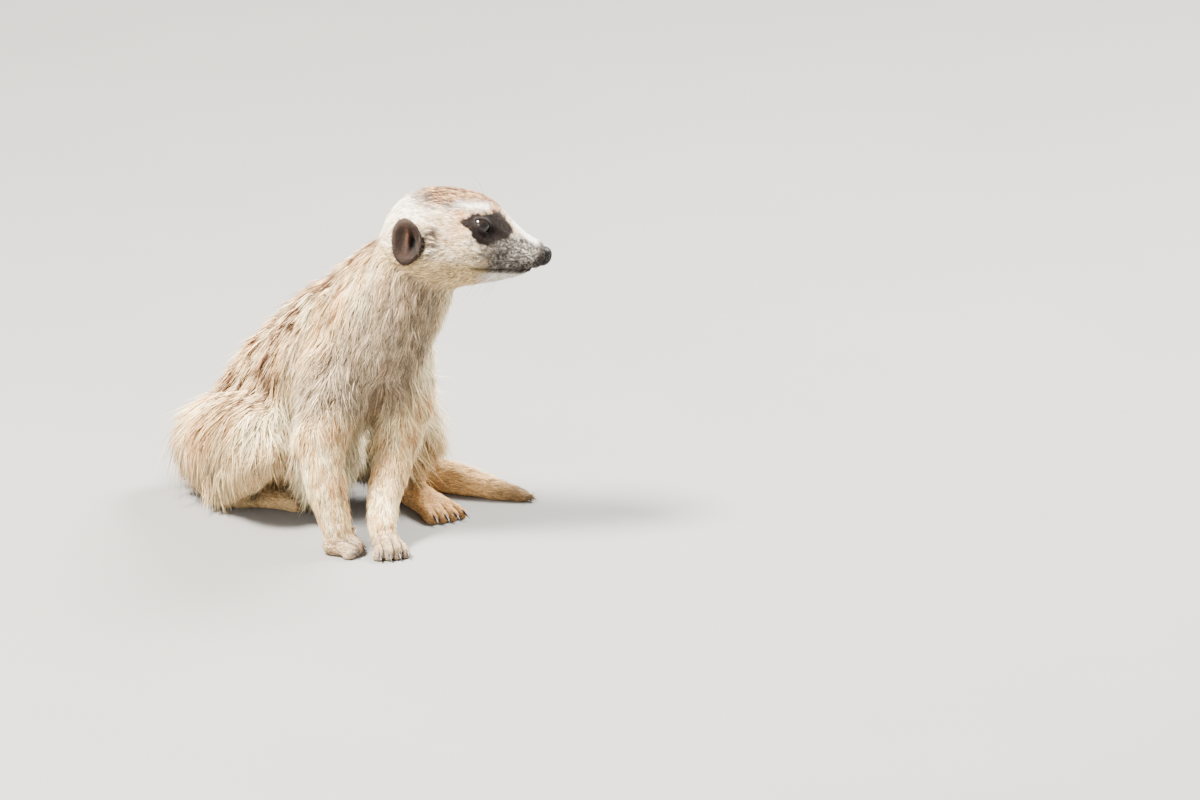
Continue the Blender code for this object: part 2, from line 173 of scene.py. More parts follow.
def noise(points: Array, size: float, seed: int, stretch: Triple = (1.0, 1.0, 1.0)) -> Array:
    """Value noise from 0 to 1: random numbers on a grid of this size, blended smoothly between corners.

    Args:
        points: places, one to a row.
        size: side of a cell of the grid.
        seed: picks the random numbers.
        stretch: factors on the axes; under 1 draws the pattern out.

    Returns:
        One number for each place.
    """
    place = points * np.array(stretch) / size + GRID_SHIFT
    cell = np.floor(place)
    part = place - cell
    part = part * part * (3.0 - 2.0 * part)
    total = np.zeros(len(points))
    for corner in itertools.product((0, 1), repeat=3):
        weight = np.prod(np.where(np.array(corner), part, 1.0 - part), axis=1)
        total += weight * scramble(cell + corner, seed)
    return total


def lock_of(points: Array, size: float, seed: int) -> Pair:
    """The nearest of the centres that lie one at random in each cell of a grid of this size.

    Args:
        points: places, one to a row.
        size: side of a cell.
        seed: picks the centres.

    Returns:
        Each point's centre, and a random number from 0 to 1 that belongs to that centre.
    """
    place = points / size + GRID_SHIFT
    cell = np.floor(place)
    best = np.full(len(points), np.inf)
    centre = np.zeros_like(points)
    token = np.zeros(len(points))
    for step in itertools.product((-1, 0, 1), repeat=3):
        other = cell + step
        candidate = other + np.stack([scramble(other, seed + axis) for axis in range(3)], axis=1)
        gap = ((candidate - place) ** 2).sum(axis=1)
        nearer = gap < best
        best[nearer], centre[nearer] = gap[nearer], candidate[nearer]
        token = np.where(nearer, scramble(other, seed + 3), token)
    return (centre - GRID_SHIFT) * size, token


# ---------------------------------------------------------------- meshes

def crosses(points: Array, triangles: Array) -> Array:
    """Each triangle's normal, as long as twice its area."""
    corners = points[triangles]
    return np.cross(corners[:, 1] - corners[:, 0], corners[:, 2] - corners[:, 0])


def point_normals(points: Array, triangles: Array) -> Array:
    """Unit normal at each point: the mean of its triangles' normals, weighted by their areas.

    Args:
        points: places, one to a row.
        triangles: rows of three point numbers.

    Returns:
        One unit vector for each place.
    """
    cross = crosses(points, triangles)
    total = np.zeros_like(points)
    for k, axis in itertools.product(range(3), repeat=2):
        total[:, axis] += np.bincount(triangles[:, k], cross[:, axis], len(points))
    return unit(total)


def facing_out(points: Array, triangles: Array, core: Array | None = None) -> Array:
    """The triangles turned to face away from the middle of the points, or from a core place for each."""
    away = points[triangles].mean(axis=1) - (points.mean(axis=0) if core is None else core)
    return triangles if (crosses(points, triangles) * away).sum() > 0 else triangles[:, ::-1]


def neighbour_table(triangles: Array, count: int, most: int = 9) -> Array:
    """For each point the points it shares an edge with, in a fixed number of columns filled up with itself.

    Args:
        triangles: rows of three point numbers.
        count: number of points.
        most: number of columns.

    Returns:
        Point numbers, one row for each point.
    """
    pairs = np.concatenate([triangles[:, [0, 1]], triangles[:, [1, 2]], triangles[:, [2, 0]]]).astype(np.int64)
    pairs = np.concatenate([pairs, pairs[:, ::-1]])
    start, end = np.divmod(np.unique(pairs[:, 0] * count + pairs[:, 1]), count)
    rank = np.arange(len(start)) - np.searchsorted(start, np.arange(count))[start]
    table = np.repeat(np.arange(count)[:, None], most, axis=1)
    kept = rank < most
    table[start[kept], rank[kept]] = end[kept]
    return table


def spread(values: Array, table: Array, rounds: int) -> Array:
    """Values averaged with their neighbours' again and again.

    Args:
        values: a value or a row for each point.
        table: each point's neighbours.
        rounds: how often to average.

    Returns:
        The averaged values.
    """
    for _ in range(rounds):
        values = values[table].mean(axis=1)
    return values


def node_shell(name: str) -> Pair:
    """A CAD node's merged corners in millimetres and its triangles.

    Args:
        name: the node.

    Returns:
        Its points and its triangles.
    """
    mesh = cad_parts[name].data
    mesh.calc_loop_triangles()
    points = np.empty(len(mesh.vertices) * 3, dtype=np.float32)
    mesh.vertices.foreach_get("co", points)
    triangles = np.empty(len(mesh.loop_triangles) * 3, dtype=np.int32)
    mesh.loop_triangles.foreach_get("vertices", triangles)
    points = points.reshape(-1, 3).astype(np.float64) / MM
    _, first, index = np.unique(np.round(points, 3), axis=0, return_index=True, return_inverse=True)
    return points[first], index.reshape(-1)[triangles].reshape(-1, 3)


def node_box(name: str) -> Pair:
    """Middle of a CAD node's box and half its sides, in millimetres."""
    low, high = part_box(name)
    return np.array((low + high) / 2) / MM, np.array((high - low) / 2) / MM


def node_middle(name: str) -> Array:
    """Middle of a CAD node's box in millimetres."""
    return node_box(name)[0]


def grid_triangles(rows: int, columns: int) -> Array:
    """Triangles of a grid of points stored row by row, its columns joined round.

    Args:
        rows: number of rows.
        columns: points in a row.

    Returns:
        Rows of three point numbers.
    """
    r, c = np.meshgrid(np.arange(rows - 1), np.arange(columns), indexing="ij")
    a = (r * columns + c).ravel()
    b = (r * columns + (c + 1) % columns).ravel()
    return np.concatenate([np.stack([a, b, b + columns], axis=1), np.stack([a, b + columns, a + columns], axis=1)])


def closed_grid(surface: Array) -> Pair:
    """A grid that wraps round its columns, closed by a pole at the middle of each end row.

    Args:
        surface: places by row, column and axis.

    Returns:
        The points, poles last, and the triangles.
    """
    rows, columns = surface.shape[:2]
    points = np.concatenate([surface.reshape(-1, 3), surface[:1].mean(axis=1), surface[-1:].mean(axis=1)])
    k = np.arange(columns)
    after = (k + 1) % columns
    last = (rows - 1) * columns
    start = np.stack([np.full(columns, rows * columns), after, k], axis=1)
    end = np.stack([np.full(columns, rows * columns + 1), last + k, last + after], axis=1)
    return points, np.concatenate([grid_triangles(rows, columns), start, end])


def add_object(name: str, data: ID) -> Object:
    """A new object in the scene that holds a mesh, a light or a camera.

    Args:
        name: the object's name.
        data: what it holds.

    Returns:
        The object.
    """
    made = bpy.data.objects.new(name, data)
    bpy.context.scene.collection.objects.link(made)
    return made


def make_piece(name: str, points: Array, triangles: Array, material: Material,
               colours: Array | None = None) -> Object:
    """A smooth-shaded piece at the origin that rides on the body.

    Args:
        name: the piece's name.
        points: places in millimetres.
        triangles: rows of three point numbers, facing out.
        material: its finish.
        colours: scene-linear colour of each point, if it has one.

    Returns:
        The piece.
    """
    mesh = bpy.data.meshes.new(name)
    mesh.vertices.add(len(points))
    mesh.vertices.foreach_set("co", (points * MM).astype(np.float32).ravel())
    mesh.loops.add(triangles.size)
    mesh.loops.foreach_set("vertex_index", triangles.astype(np.int32).ravel())
    mesh.polygons.add(len(triangles))
    mesh.polygons.foreach_set("loop_start", np.arange(0, triangles.size, 3, dtype=np.int32))
    mesh.update(calc_edges=True)
    mesh.validate()
    mesh.shade_smooth()
    if colours is not None:
        layer = mesh.color_attributes.new(COLOUR, "FLOAT_COLOR", "POINT")
        layer.data.foreach_set("color", np.column_stack([colours, np.ones(len(colours))]).astype(np.float32).ravel())
    piece = add_object(name, mesh)
    mesh.materials.append(material)
    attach(piece, "root")
    LOG.info("%s: %d triangles", name, len(triangles))
    return piece


# ---------------------------------------------------------------- finishes

def set_sockets(node: Node, constants: dict[str, float]) -> None:
    """Put constants on a node's input sockets; an underscore stands for a space in a socket's name."""
    for socket, value in constants.items():
        node.inputs[socket.replace("_", " ")].default_value = value


def feed(node: Node, links: dict[str | int, NodeSocket]) -> None:
    """Link outputs to a node's input sockets."""
    for socket, source in links.items():
        node.id_data.links.new(source, node.inputs[socket])


def add_node(tree: NodeTree, kind: str, links: dict[str | int, NodeSocket] | None = None,
             settings: dict[str, object] | None = None, **constants: float) -> Node:
    """A new node of a shader tree.

    Args:
        tree: the tree.
        kind: the node's type.
        links: the output that feeds each input socket.
        settings: the node's own properties.
        constants: values of input sockets.

    Returns:
        The node.
    """
    made = tree.nodes.new(kind)
    for key, value in (settings or {}).items():
        setattr(made, key, value)
    set_sockets(made, constants)
    feed(made, links or {})
    return made


def object_place(tree: NodeTree) -> NodeSocket:
    """Places on the object, for a pattern to follow."""
    return add_node(tree, "ShaderNodeTexCoord").outputs["Object"]


def two_tones(tree: NodeTree, source: NodeSocket, low: Array, high: Array) -> NodeSocket:
    """A colour ramp from one scene-linear colour to another, fed by a value.

    Args:
        tree: the shader tree.
        source: value from 0 to 1.
        low: colour at 0.
        high: colour at 1.

    Returns:
        The ramp's colour output.
    """
    tone = add_node(tree, "ShaderNodeValToRGB", {"Fac": source})
    for stop, colour in zip(tone.color_ramp.elements, (low, high)):
        stop.color = (*colour, 1.0)
    return tone.outputs["Color"]


def painted_colour(tree: NodeTree) -> NodeSocket:
    """The colour attribute that the markings fill."""
    return add_node(tree, "ShaderNodeAttribute", settings={"attribute_name": COLOUR}).outputs["Color"]


def new_material(name: str, **constants: float) -> tuple[Material, Node]:
    """A material whose Principled shader has these constants on its own sockets.

    Args:
        name: the material's name.
        constants: values of the shader's sockets.

    Returns:
        The material and its Principled shader.
    """
    made = bpy.data.materials.new(name)
    made.use_nodes = True
    shader = made.node_tree.nodes["Principled BSDF"]
    set_sockets(shader, constants)
    return made, shader


def coat_grain() -> NodeTree:
    """Shader group that breaks a colour up into fine hairs and tells their height.

    Returns:
        The group, with inputs Colour, Scale and Depth and outputs Colour and Height.
    """
    group = bpy.data.node_groups.new("CoatGrain", "ShaderNodeTree")
    for name, way, kind in (("Colour", "INPUT", "Color"), ("Scale", "INPUT", "Float"), ("Depth", "INPUT", "Float"),
                            ("Colour", "OUTPUT", "Color"), ("Height", "OUTPUT", "Float")):
        group.interface.new_socket(name, in_out=way, socket_type="NodeSocket" + kind)
    given = add_node(group, "NodeGroupInput").outputs
    speck = add_node(group, "ShaderNodeTexNoise", {"Vector": object_place(group), "Scale": given["Scale"]}, Detail=3.0)
    less = add_node(group, "ShaderNodeMath", {1: given["Depth"]}, {"operation": "SUBTRACT"}, Value=1.0)
    level = add_node(group, "ShaderNodeMapRange", {"Value": speck.outputs["Fac"], "To Min": less.outputs["Value"]},
                     From_Min=0.3, From_Max=0.7, To_Max=1.0)
    shade = add_node(group, "ShaderNodeVectorMath", {0: given["Colour"], "Scale": level.outputs["Result"]},
                     {"operation": "SCALE"})
    add_node(group, "NodeGroupOutput", {"Colour": shade.outputs["Vector"], "Height": speck.outputs["Fac"]})
    return group


@dataclass(frozen=True)
class CoatFinish:
    """Fur or haired skin, coloured by the attribute that the markings fill.

    scale is the grain's frequency for each metre, grain how far it darkens, bump its height in metres.
    """
    name: str
    roughness: float
    scale: float
    grain: float
    bump: float = 0.0
    sheen: float = 0.04
    shine: float = 0.16

    def make(self, group: NodeTree) -> Material:
        """The material, with the grain group between the attribute and the shader.

        Args:
            group: the grain group.

        Returns:
            The material.
        """
        made, shader = new_material(self.name, Roughness=self.roughness, Sheen_Weight=self.sheen,
                                    Specular_IOR_Level=self.shine)
        tree = made.node_tree
        grain = add_node(tree, "ShaderNodeGroup", {"Colour": painted_colour(tree)}, {"node_tree": group},
                         Scale=self.scale, Depth=self.grain).outputs
        feed(shader, {"Base Color": grain["Colour"]})
        if self.bump > 0.0:
            relief = add_node(tree, "ShaderNodeBump", {"Height": grain["Height"]}, Distance=self.bump)
            feed(shader, {"Normal": relief.outputs["Normal"]})
        return made


@dataclass(frozen=True)
class WetFinish:
    """A dark, moist surface such as an eye, a nose pad or horn, with a fine relief.

    relief is the pattern's frequency for each metre, height its depth in metres.
    """
    name: str
    colour: Triple
    roughness: float
    relief: float
    height: float
    shine: float = 0.5
    coat: float = 0.0
    painted: bool = False
    coat_roughness: float = 0.04
    low: float = 0.7                    # darkest and lightest of the pattern, as shares of the colour
    high: float = 1.5

    def make(self) -> Material:
        """The material; a painted one takes its colour from the attribute.

        Returns:
            The material.
        """
        made, shader = new_material(self.name, Roughness=self.roughness, Coat_Weight=self.coat,
                                    Coat_Roughness=self.coat_roughness, Specular_IOR_Level=self.shine)
        tree = made.node_tree
        cells = add_node(tree, "ShaderNodeTexVoronoi", {"Vector": object_place(tree)}, Scale=self.relief)
        cells = cells.outputs["Distance"]
        base = linear(*self.colour)
        colour = painted_colour(tree) if self.painted else two_tones(tree, cells, base * self.low, base * self.high)
        bump = add_node(tree, "ShaderNodeBump", {"Height": cells}, Distance=self.height)
        feed(shader, {"Base Color": colour, "Normal": bump.outputs["Normal"]})
        return made


COAT_FINISHES = (CoatFinish("coat_hair", 0.7, 1500.0, 0.15), CoatFinish("haired_skin", 0.85, 1100.0, 0.35, 0.0004))
WET_FINISHES = (
    WetFinish("wet_eye", (30, 20, 14), 0.06, 900.0, 0.000004, shine=0.35, painted=True),
    WetFinish("lid_margin", (20, 15, 13), 0.6, 2200.0, 0.00008, shine=0.12),
    WetFinish("nose_leather", (9, 8, 8), 0.45, 1700.0, 0.00012, shine=0.16),
    WetFinish("claw_horn", (38, 32, 32), 0.35, 700.0, 0.00006, coat=0.2),
    WetFinish("bristle", (40, 32, 28), 0.45, 500.0, 0.00001))


# ---------------------------------------------------------------- frames of the body

@dataclass
class BodyFrames:
    """The head's and the trunk's own axes, worked out from the CAD nodes.

    The head's origin lies between the ears, +x to the nose, +y to the animal's left, +z to the crown.
    """
    eye: Triple = (10.6, 14.2, 9.6)     # left eye in the head's frame
    nose_below_eyes: float = math.radians(17.74)
    ear: Triple = (-24.0, 22.2, -3.4)
    nose: Triple = (44.4, 0.0, -3.1)
    nose_radii: Triple = (5.4, 5.0, 5.0)
    head_axes: Array = field(init=False)
    head_origin: Array = field(init=False)
    ahead: Array = field(init=False)

    def __post_init__(self) -> None:
        """Take the axes from the eyes, the nose, the chest and the rump."""
        right, left = node_middle("eye_right"), node_middle("eye_left")
        middle = (right + left) / 2
        y = unit(left - right)
        toward = node_middle("nose") - middle
        toward = unit(toward - y * (toward @ y))
        x = toward * math.cos(self.nose_below_eyes) + np.cross(toward, y) * math.sin(self.nose_below_eyes)
        self.head_axes = np.stack([x, y, np.cross(x, y)])
        self.head_origin = middle - mirrored(self.eye, 0.0) @ self.head_axes
        self.ahead = unit((node_middle("chest") - node_middle("rump")) * np.array([1.0, 1.0, 0.0]))

    def to_head(self, points: Array) -> Array:
        """Places in the head's frame."""
        return (points - self.head_origin) @ self.head_axes.T

    def from_head(self, points: Array) -> Array:
        """Places in the body's frame of places in the head's."""
        return points @ self.head_axes + self.head_origin

    def eye_basis(self, sign: float) -> Array:
        """Rows: the way an eye looks, the way to its front corner, and up, in the head's frame.

        Args:
            sign: +1 for the left side, -1 for the right.

        Returns:
            Three rows of unit vectors.
        """
        gaze = unit(np.array([0.46, sign * 0.88, 0.12]))
        front = np.array([1.0, 0.0, -0.50])
        front = unit(front - gaze * (front @ gaze))
        return np.stack([gaze, front, np.cross(gaze, front) * -sign])


# ---------------------------------------------------------------- the lie of the coat, node by node

@dataclass(frozen=True)
class Lay:
    """How the coat grows on one node.

    length and width of a tuft, depth of the whole coat over the skin, tufts for each square millimetre,
    how far locks draw together (0 to 1), and the way it lies, in the body's frame.
    """
    length: float
    width: float
    depth: float
    share: float
    lock: float
    toward: Triple


DOWN_BACK = (-0.22, 0.28, -0.93)
LAYS: dict[str, Lay] = {
    "head": Lay(3.8, 0.36, 1.5, 6.2, 0.35, (-1.0, 0.0, 0.0)),
    "neck": Lay(10.0, 0.54, 3.6, 3.4, 0.55, (-0.36, 0.12, -0.92)),
    "chest": Lay(14.0, 0.86, 4.4, 2.1, 0.65, DOWN_BACK),
    "rump": Lay(17.0, 0.90, 4.6, 2.3, 0.70, DOWN_BACK),
    "thigh_right": Lay(16.0, 0.86, 4.2, 2.2, 0.70, (-0.16, 0.10, -0.98)),
    "thigh_left": Lay(17.0, 0.80, 5.2, 2.0, 0.60, (0.42, -0.25, -0.87)),
    "shank_right": Lay(12.0, 0.66, 2.4, 2.4, 0.60, (-0.25, 0.25, -0.93)),
    "shank_left": Lay(7.0, 0.56, 2.0, 2.6, 0.45, (0.02, 0.05, -1.0)),
    "foreleg_upper_right": Lay(8.5, 0.60, 2.8, 2.5, 0.55, (0.0, -0.1, -1.0)),
    "foreleg_lower_right": Lay(6.0, 0.48, 2.0, 3.2, 0.45, (0.05, -0.1, -1.0)),
    "foreleg_upper_left": Lay(8.5, 0.60, 2.8, 2.5, 0.55, (-0.1, -0.1, -1.0)),
    "foreleg_lower_left": Lay(6.0, 0.48, 2.0, 3.2, 0.45, (-0.2, -0.4, -0.9)),
    "forepaw_right": Lay(2.6, 0.30, 0.7, 4.8, 0.20, (0.97, -0.2, -0.1)),
    "forepaw_left": Lay(2.6, 0.30, 0.7, 4.8, 0.20, (0.30, -0.95, -0.1)),
    "hindpaw_right": Lay(3.2, 0.34, 0.8, 4.2, 0.20, (0.99, -0.12, -0.08)),
    "hindpaw_left": Lay(3.2, 0.34, 0.8, 4.2, 0.20, (0.53, -0.85, -0.08)),
    "tail_base": Lay(9.0, 0.56, 2.2, 2.8, 0.50, (0.75, 0.55, -0.2)),
    "tail_middle": Lay(7.5, 0.50, 2.0, 3.0, 0.45, (0.87, -0.49, 0.0)),
    "tail_tip": Lay(7.0, 0.46, 1.5, 3.6, 0.45, (0.90, -0.42, -0.1)),
}
FLESH = tuple(LAYS)
HEAD, CHEST = FLESH.index("head"), FLESH.index("chest")
PAWS = ("forepaw_right", "forepaw_left", "hindpaw_right", "hindpaw_left")
TOES = range(1, 5)
CLAW = "{}_claw_{}"


@dataclass
class Surface:
    """Triangles with what a coat needs to grow on them.

    labels number the CAD node under each point, lie is the way the coat lies there, and length, width,
    depth, share and lock are a Lay's numbers blended from node to node. zones say how much each point
    belongs to head, trunk and limbs, and base is a colour that takes the place of the markings.
    """
    points: Array
    triangles: Array
    normals: Array
    table: Array
    labels: Array
    lie: Array
    length: Array
    width: Array
    depth: Array
    share: Array
    lock: Array
    zones: Array
    base: Array | None = None

    def walk(self, place: Array, at: Array, yaw: Array, distance: Array, steps: int = 4) -> Pair:
        """Follow the lie of the coat over the surface.

        Each stride goes along the lie turned by yaw, then moves to the nearest point's tangent plane.

        Args:
            place: where each walk starts.
            at: the surface point nearest to each start.
            yaw: angle between each walk and the lie.
            distance: how far each walk goes.
            steps: number of strides.

        Returns:
            Where each walk ends and the surface point nearest to it.
        """
        stride = (distance / steps)[:, None]
        row = np.arange(len(at))
        for _ in range(steps):
            along, normal = self.lie[at], self.normals[at]
            turned = along * np.cos(yaw)[:, None] + np.cross(normal, along) * np.sin(yaw)[:, None]
            place = place + turned * stride
            for _ in range(3):
                near = self.table[at]
                gap = ((self.points[near] - place[:, None]) ** 2).sum(axis=2)
                best = gap.argmin(axis=1)
                own = ((self.points[at] - place) ** 2).sum(axis=1)
                at = np.where(gap[row, best] < own, near[row, best], at)
            off = ((place - self.points[at]) * self.normals[at]).sum(axis=1)
            place = place - self.normals[at] * off[:, None]
        return place, at


@dataclass
class Toes:
    """The furrows between the toes, worked out from the claws of each paw."""
    breadth: float = 0.75               # of a furrow
    furrows: list[Pair] = field(init=False)
    claws: list[Array] = field(init=False)

    def __post_init__(self) -> None:
        """Find the claws, the middle between each two and the way the paw points."""
        self.furrows, self.claws = [], []
        for paw in PAWS:
            claws = [node_middle(CLAW.format(paw, toe)) for toe in TOES]
            ahead = unit(np.array(LAYS[paw].toward) * np.array([1.0, 1.0, 0.0]))
            self.furrows += [((first + second) / 2, ahead) for first, second in zip(claws, claws[1:])]
            self.claws += claws

    def tips(self, points: Array) -> Array:
        """1 by the claws, 0 further than about 7 mm from them."""
        return np.max([bell(np.linalg.norm(points - claw, axis=1), 0.0, 4.0) for claw in self.claws], axis=0)

    def furrow(self, points: Array) -> Array:
        """1 between two toes, 0 elsewhere: a bell across the furrow's line, from the claws back to the knuckles.

        Args:
            points: places, one to a row.

        Returns:
            One number for each place.
        """
        depth = np.zeros(len(points))
        for middle, ahead in self.furrows:
            away = points - middle
            along = away @ ahead
            across = away[:, 0] * ahead[1] - away[:, 1] * ahead[0]
            near = ramp(along, -10.0, -5.0) * ramp(along, 4.0, 2.0) * (np.abs(away[:, 2]) < 8.0)
            depth = np.maximum(depth, bell(across, 0.0, self.breadth) * near)
        return depth


# ---------------------------------------------------------------- markings

@dataclass
class Markings:
    """Colours of skin and coat as functions of place."""
    frames: BodyFrames
    toes: Toes
    # Dark patch round the eye: radius, and bulges as (angle in degrees, extra radius, spread in degrees).
    patch_radius: float = 7.4
    patch_bulges: tuple[Triple, ...] = (
        (-8.0, 9.6, 24.0), (-55.0, 3.6, 26.0), (30.0, 4.2, 20.0), (85.0, -1.7, 32.0), (176.0, 3.4, 13.0),
        (-140.0, -1.9, 26.0))

    def eye_patch(self, head: Array) -> Array:
        """1 inside the dark patch round each eye, 0 outside, from places in the head's frame.

        Args:
            head: places in the head's frame.

        Returns:
            One number for each place.
        """
        x, z = head[:, 0] - self.frames.eye[0], head[:, 2] - self.frames.eye[2]
        angle = np.degrees(np.arctan2(z, x))
        radius = self.patch_radius
        for at, extra, width in self.patch_bulges:
            radius = radius + extra * bell((angle - at + 180.0) % 360.0 - 180.0, 0.0, width)
        edge = np.hypot(x, z) + 1.6 * (noise(head, 1.5, 3) - 0.5)
        return ramp(edge, radius + 0.9, radius - 0.9) * ramp(np.abs(head[:, 1]), 4.5, 7.5)

    def lip_height(self, x: Array) -> Array:
        """Height of the mouth line in the head's frame: level under the nose, then curving up at the cheek."""
        return -10.4 - 0.07 * (38.0 - x) + 0.010 * np.clip(18.0 - x, 0.0, None) ** 2

    def head_colour(self, points: Array) -> Array:
        """Colour of the head: cream cheeks, grizzled crown, pale brow, dark eye patch and grey muzzle.

        Each mark is a colour and a share made of ramps and bells of x, y and z in the head's frame.

        Args:
            points: places, one to a row.

        Returns:
            Scene-linear colours.
        """
        h = self.frames.to_head(points)
        x, y, z = h[:, 0], np.abs(h[:, 1]), h[:, 2]
        over_lip = z - self.lip_height(x)
        fleck = noise(h, 0.9, 32, (0.6, 1.0, 1.0))
        top = layers(mix(Tint.GINGER, Tint.TAN, noise(h, 3.0, 5)), (Tint.CHARCOAL, 0.95 * ramp(fleck, 0.48, 0.55)),
                     (Tint.CREAM, 0.45 * ramp(fleck, 0.42, 0.34)))
        grizzle = mix(Tint.GREY.rgb * 0.70, Tint.WHITE.rgb * 0.55, ramp(noise(h, 0.55, 31), 0.52, 0.64))
        grizzle = mix(grizzle, Tint.CHARCOAL, 0.35 * bell(z, -7.5, 3.0))
        cheek = bell(x, 12.0, 9.0) * bell(z, -2.0, 7.0)
        forehead = ramp(x, 8.0, 13.0) * ramp(x, 29.0, 22.0) * ramp(z, 11.0, 14.0)
        brow = bell(z - 0.10 * x, 17.6, 1.9) * ramp(x, -6.0, 0.0) * ramp(x, 17.0, 12.0) * ramp(y, 3.0, 8.0)
        stripe = bell(z - 0.16 * x, 15.5, 2.4) * ramp(x, -26.0, -14.0) * ramp(x, 2.0, -4.0) * ramp(y, 9.0, 14.0)
        temple = bell(x, 0.0, 4.2) * bell(z, 13.5, 2.6) * ramp(y, 8.0, 13.0)
        muzzle = ramp(x + 0.35 * z, 8.0, 16.0) * ramp(z - 0.1 * x, 6.0, 1.0)
        bridge = ramp(x, 24.0, 29.0) * ramp(y, 6.4, 3.6) * ramp(z, -1.0, 3.0) * ramp(x, 46.0, 41.0)
        return layers(
            mix(Tint.CREAM, Tint.WHITE, 0.25 + 0.5 * ramp(noise(h, 2.2, 4), 0.3, 0.8)),
            (Tint.PEACH, 0.55 * bell(x, -2.0, 9.0) * bell(z, 7.0, 7.0)),
            (Tint.CREAM.rgb * 0.96, ramp(z, -6.0, -13.0)),
            (Tint.GREY, 0.9 * cheek * ramp(fleck, 0.52, 0.60)),
            (top, ramp(z - 0.10 * x, 12.0, 17.0) * ramp(x, 25.0, 17.0)),
            (Tint.BROWN, 0.9 * forehead * ramp(fleck, 0.50, 0.58)),
            (Tint.WHITE, 0.95 * brow),
            (Tint.WHITE, 0.4 * stripe),
            (Tint.TAN, 0.9 * temple),
            (Tint.WHITE, 0.85 * bell(x, -27.0, 8.0) * bell(z, 12.0, 7.0)),
            (grizzle, muzzle * (0.65 + 0.35 * ramp(x, 14.0, 22.0))),
            (Tint.WHITE, 0.9 * bridge),
            (Tint.WHITE, ramp(x, 10.0, 22.0) * ramp(over_lip, -1.2, -2.6)),
            (Tint.CHARCOAL.rgb * 1.5, 0.85 * ramp(x, 6.0, 14.0) * bell(over_lip, 0.0, 1.5)),
            (Tint.CHARCOAL.rgb * 1.3, 0.85 * ramp(x, 39.5, 43.0) * ramp(z, -8.5, -6.5)),
            (Tint.CHARCOAL, self.eye_patch(h)))

    def ear_fringe(self, colour: Array, points: Array) -> Array:
        """Colour with the dark fringe in front of each ear and the golden hair under it.

        Args:
            colour: what lies under the fringe.
            points: places, one to a row.

        Returns:
            Scene-linear colours.
        """
        h = self.frames.to_head(points)
        side = ramp(np.abs(h[:, 1]), 12.0, 17.0)
        streak = ramp(noise(h, 1.1, 33, (0.35, 1.0, 1.0)), 0.26, 0.44)
        before = np.clip(1.6 * bell(h[:, 0], -13.0, 4.2) * bell(h[:, 2], -1.0, 8.0) * side, 0.0, 1.0)
        return layers(colour, (Tint.GOLD, 0.75 * bell(h[:, 0], -26.0, 5.5) * bell(h[:, 2], -18.0, 3.5) * side),
                      (Tint.UMBER, 0.95 * before * streak))

    def along_trunk(self, points: Array) -> Pair:
        """Distance in front of the line that leans along the spine, and distance to the trunk's left."""
        left = points @ np.cross([0.0, 0.0, 1.0], self.frames.ahead)
        return points @ self.frames.ahead - (0.60 * points[:, 2] - 8.0), left

    def breast(self, points: Array) -> Array:
        """1 on the finely grizzled breast and right side of the neck, 0 elsewhere."""
        front, left = self.along_trunk(points)
        return ramp(points[:, 2], 58.0, 74.0) * ramp(front, 36.0, 58.0) * ramp(left, 26.0, 15.0)

    def trunk_colour(self, points: Array) -> Array:
        """Colour of the trunk and neck: peach and cream flanks, dashed back, grizzled breast, pale belly, and a painted
        highlight on the front's far left side.

        The dashes are noise drawn out downwards, with a wave of 11 mm over the height that sets them in rows.

        Args:
            points: places, one to a row.

        Returns:
            Scene-linear colours.
        """
        front, left = self.along_trunk(points)
        height = points[:, 2]
        streak, fine, broad = (noise(points, size, seed, (1.0, 1.0, 0.25))
                               for size, seed in ((3.0, 11), (1.2, 12), (4.5, 13)))
        back = ramp(front, 44.0, 20.0)
        rows = 0.5 + 0.5 * np.sin(height * TURN / 11.0 + 3.0 * noise(points, 12.0, 7))
        dash = ramp(noise(points, 2.6, 8, (1.0, 1.0, 0.45)) + 0.20 * rows, 0.57, 0.62)
        thin = ramp(noise(points, 2.2, 9, (1.0, 1.0, 0.20)), 0.60, 0.70)
        # pale: the front's far left side, made pale as a painted highlight where the light falls on it.
        pale = ramp(left, 16.0, 26.0) * ramp(front, 30.0, 45.0)
        belly = ramp(front, 28.0, 44.0) * ramp(height, 70.0, 58.0)
        return layers(
            mix(Tint.CREAM, Tint.PEACH, 0.75 * ramp(streak, 0.45, 0.75)),
            (Tint.PALE, 0.8 * ramp(broad, 0.45, 0.75)),
            (Tint.TAN, 0.35 * back * ramp(height, 30.0, 80.0) * ramp(streak, 0.3, 0.6)),
            (Tint.BROWN.rgb * 0.8, dash * back * ramp(height, 42.0, 60.0)),
            (Tint.GINGER, 0.8 * thin * ramp(height, 75.0, 40.0) * back),
            (mix(Tint.SALT, Tint.GREY, 0.75 * ramp(fine, 0.50, 0.64)), 0.80 * self.breast(points)),
            # PALE over the far left side is a painted highlight; over the belly it is the belly's own pale coat.
            (Tint.PALE, 0.85 * np.maximum(pale, 0.7 * belly)),
            (Tint.BROWN, 0.25 * ramp(fine, 0.64, 0.85) * (1.0 - pale) * (1.0 - belly)))

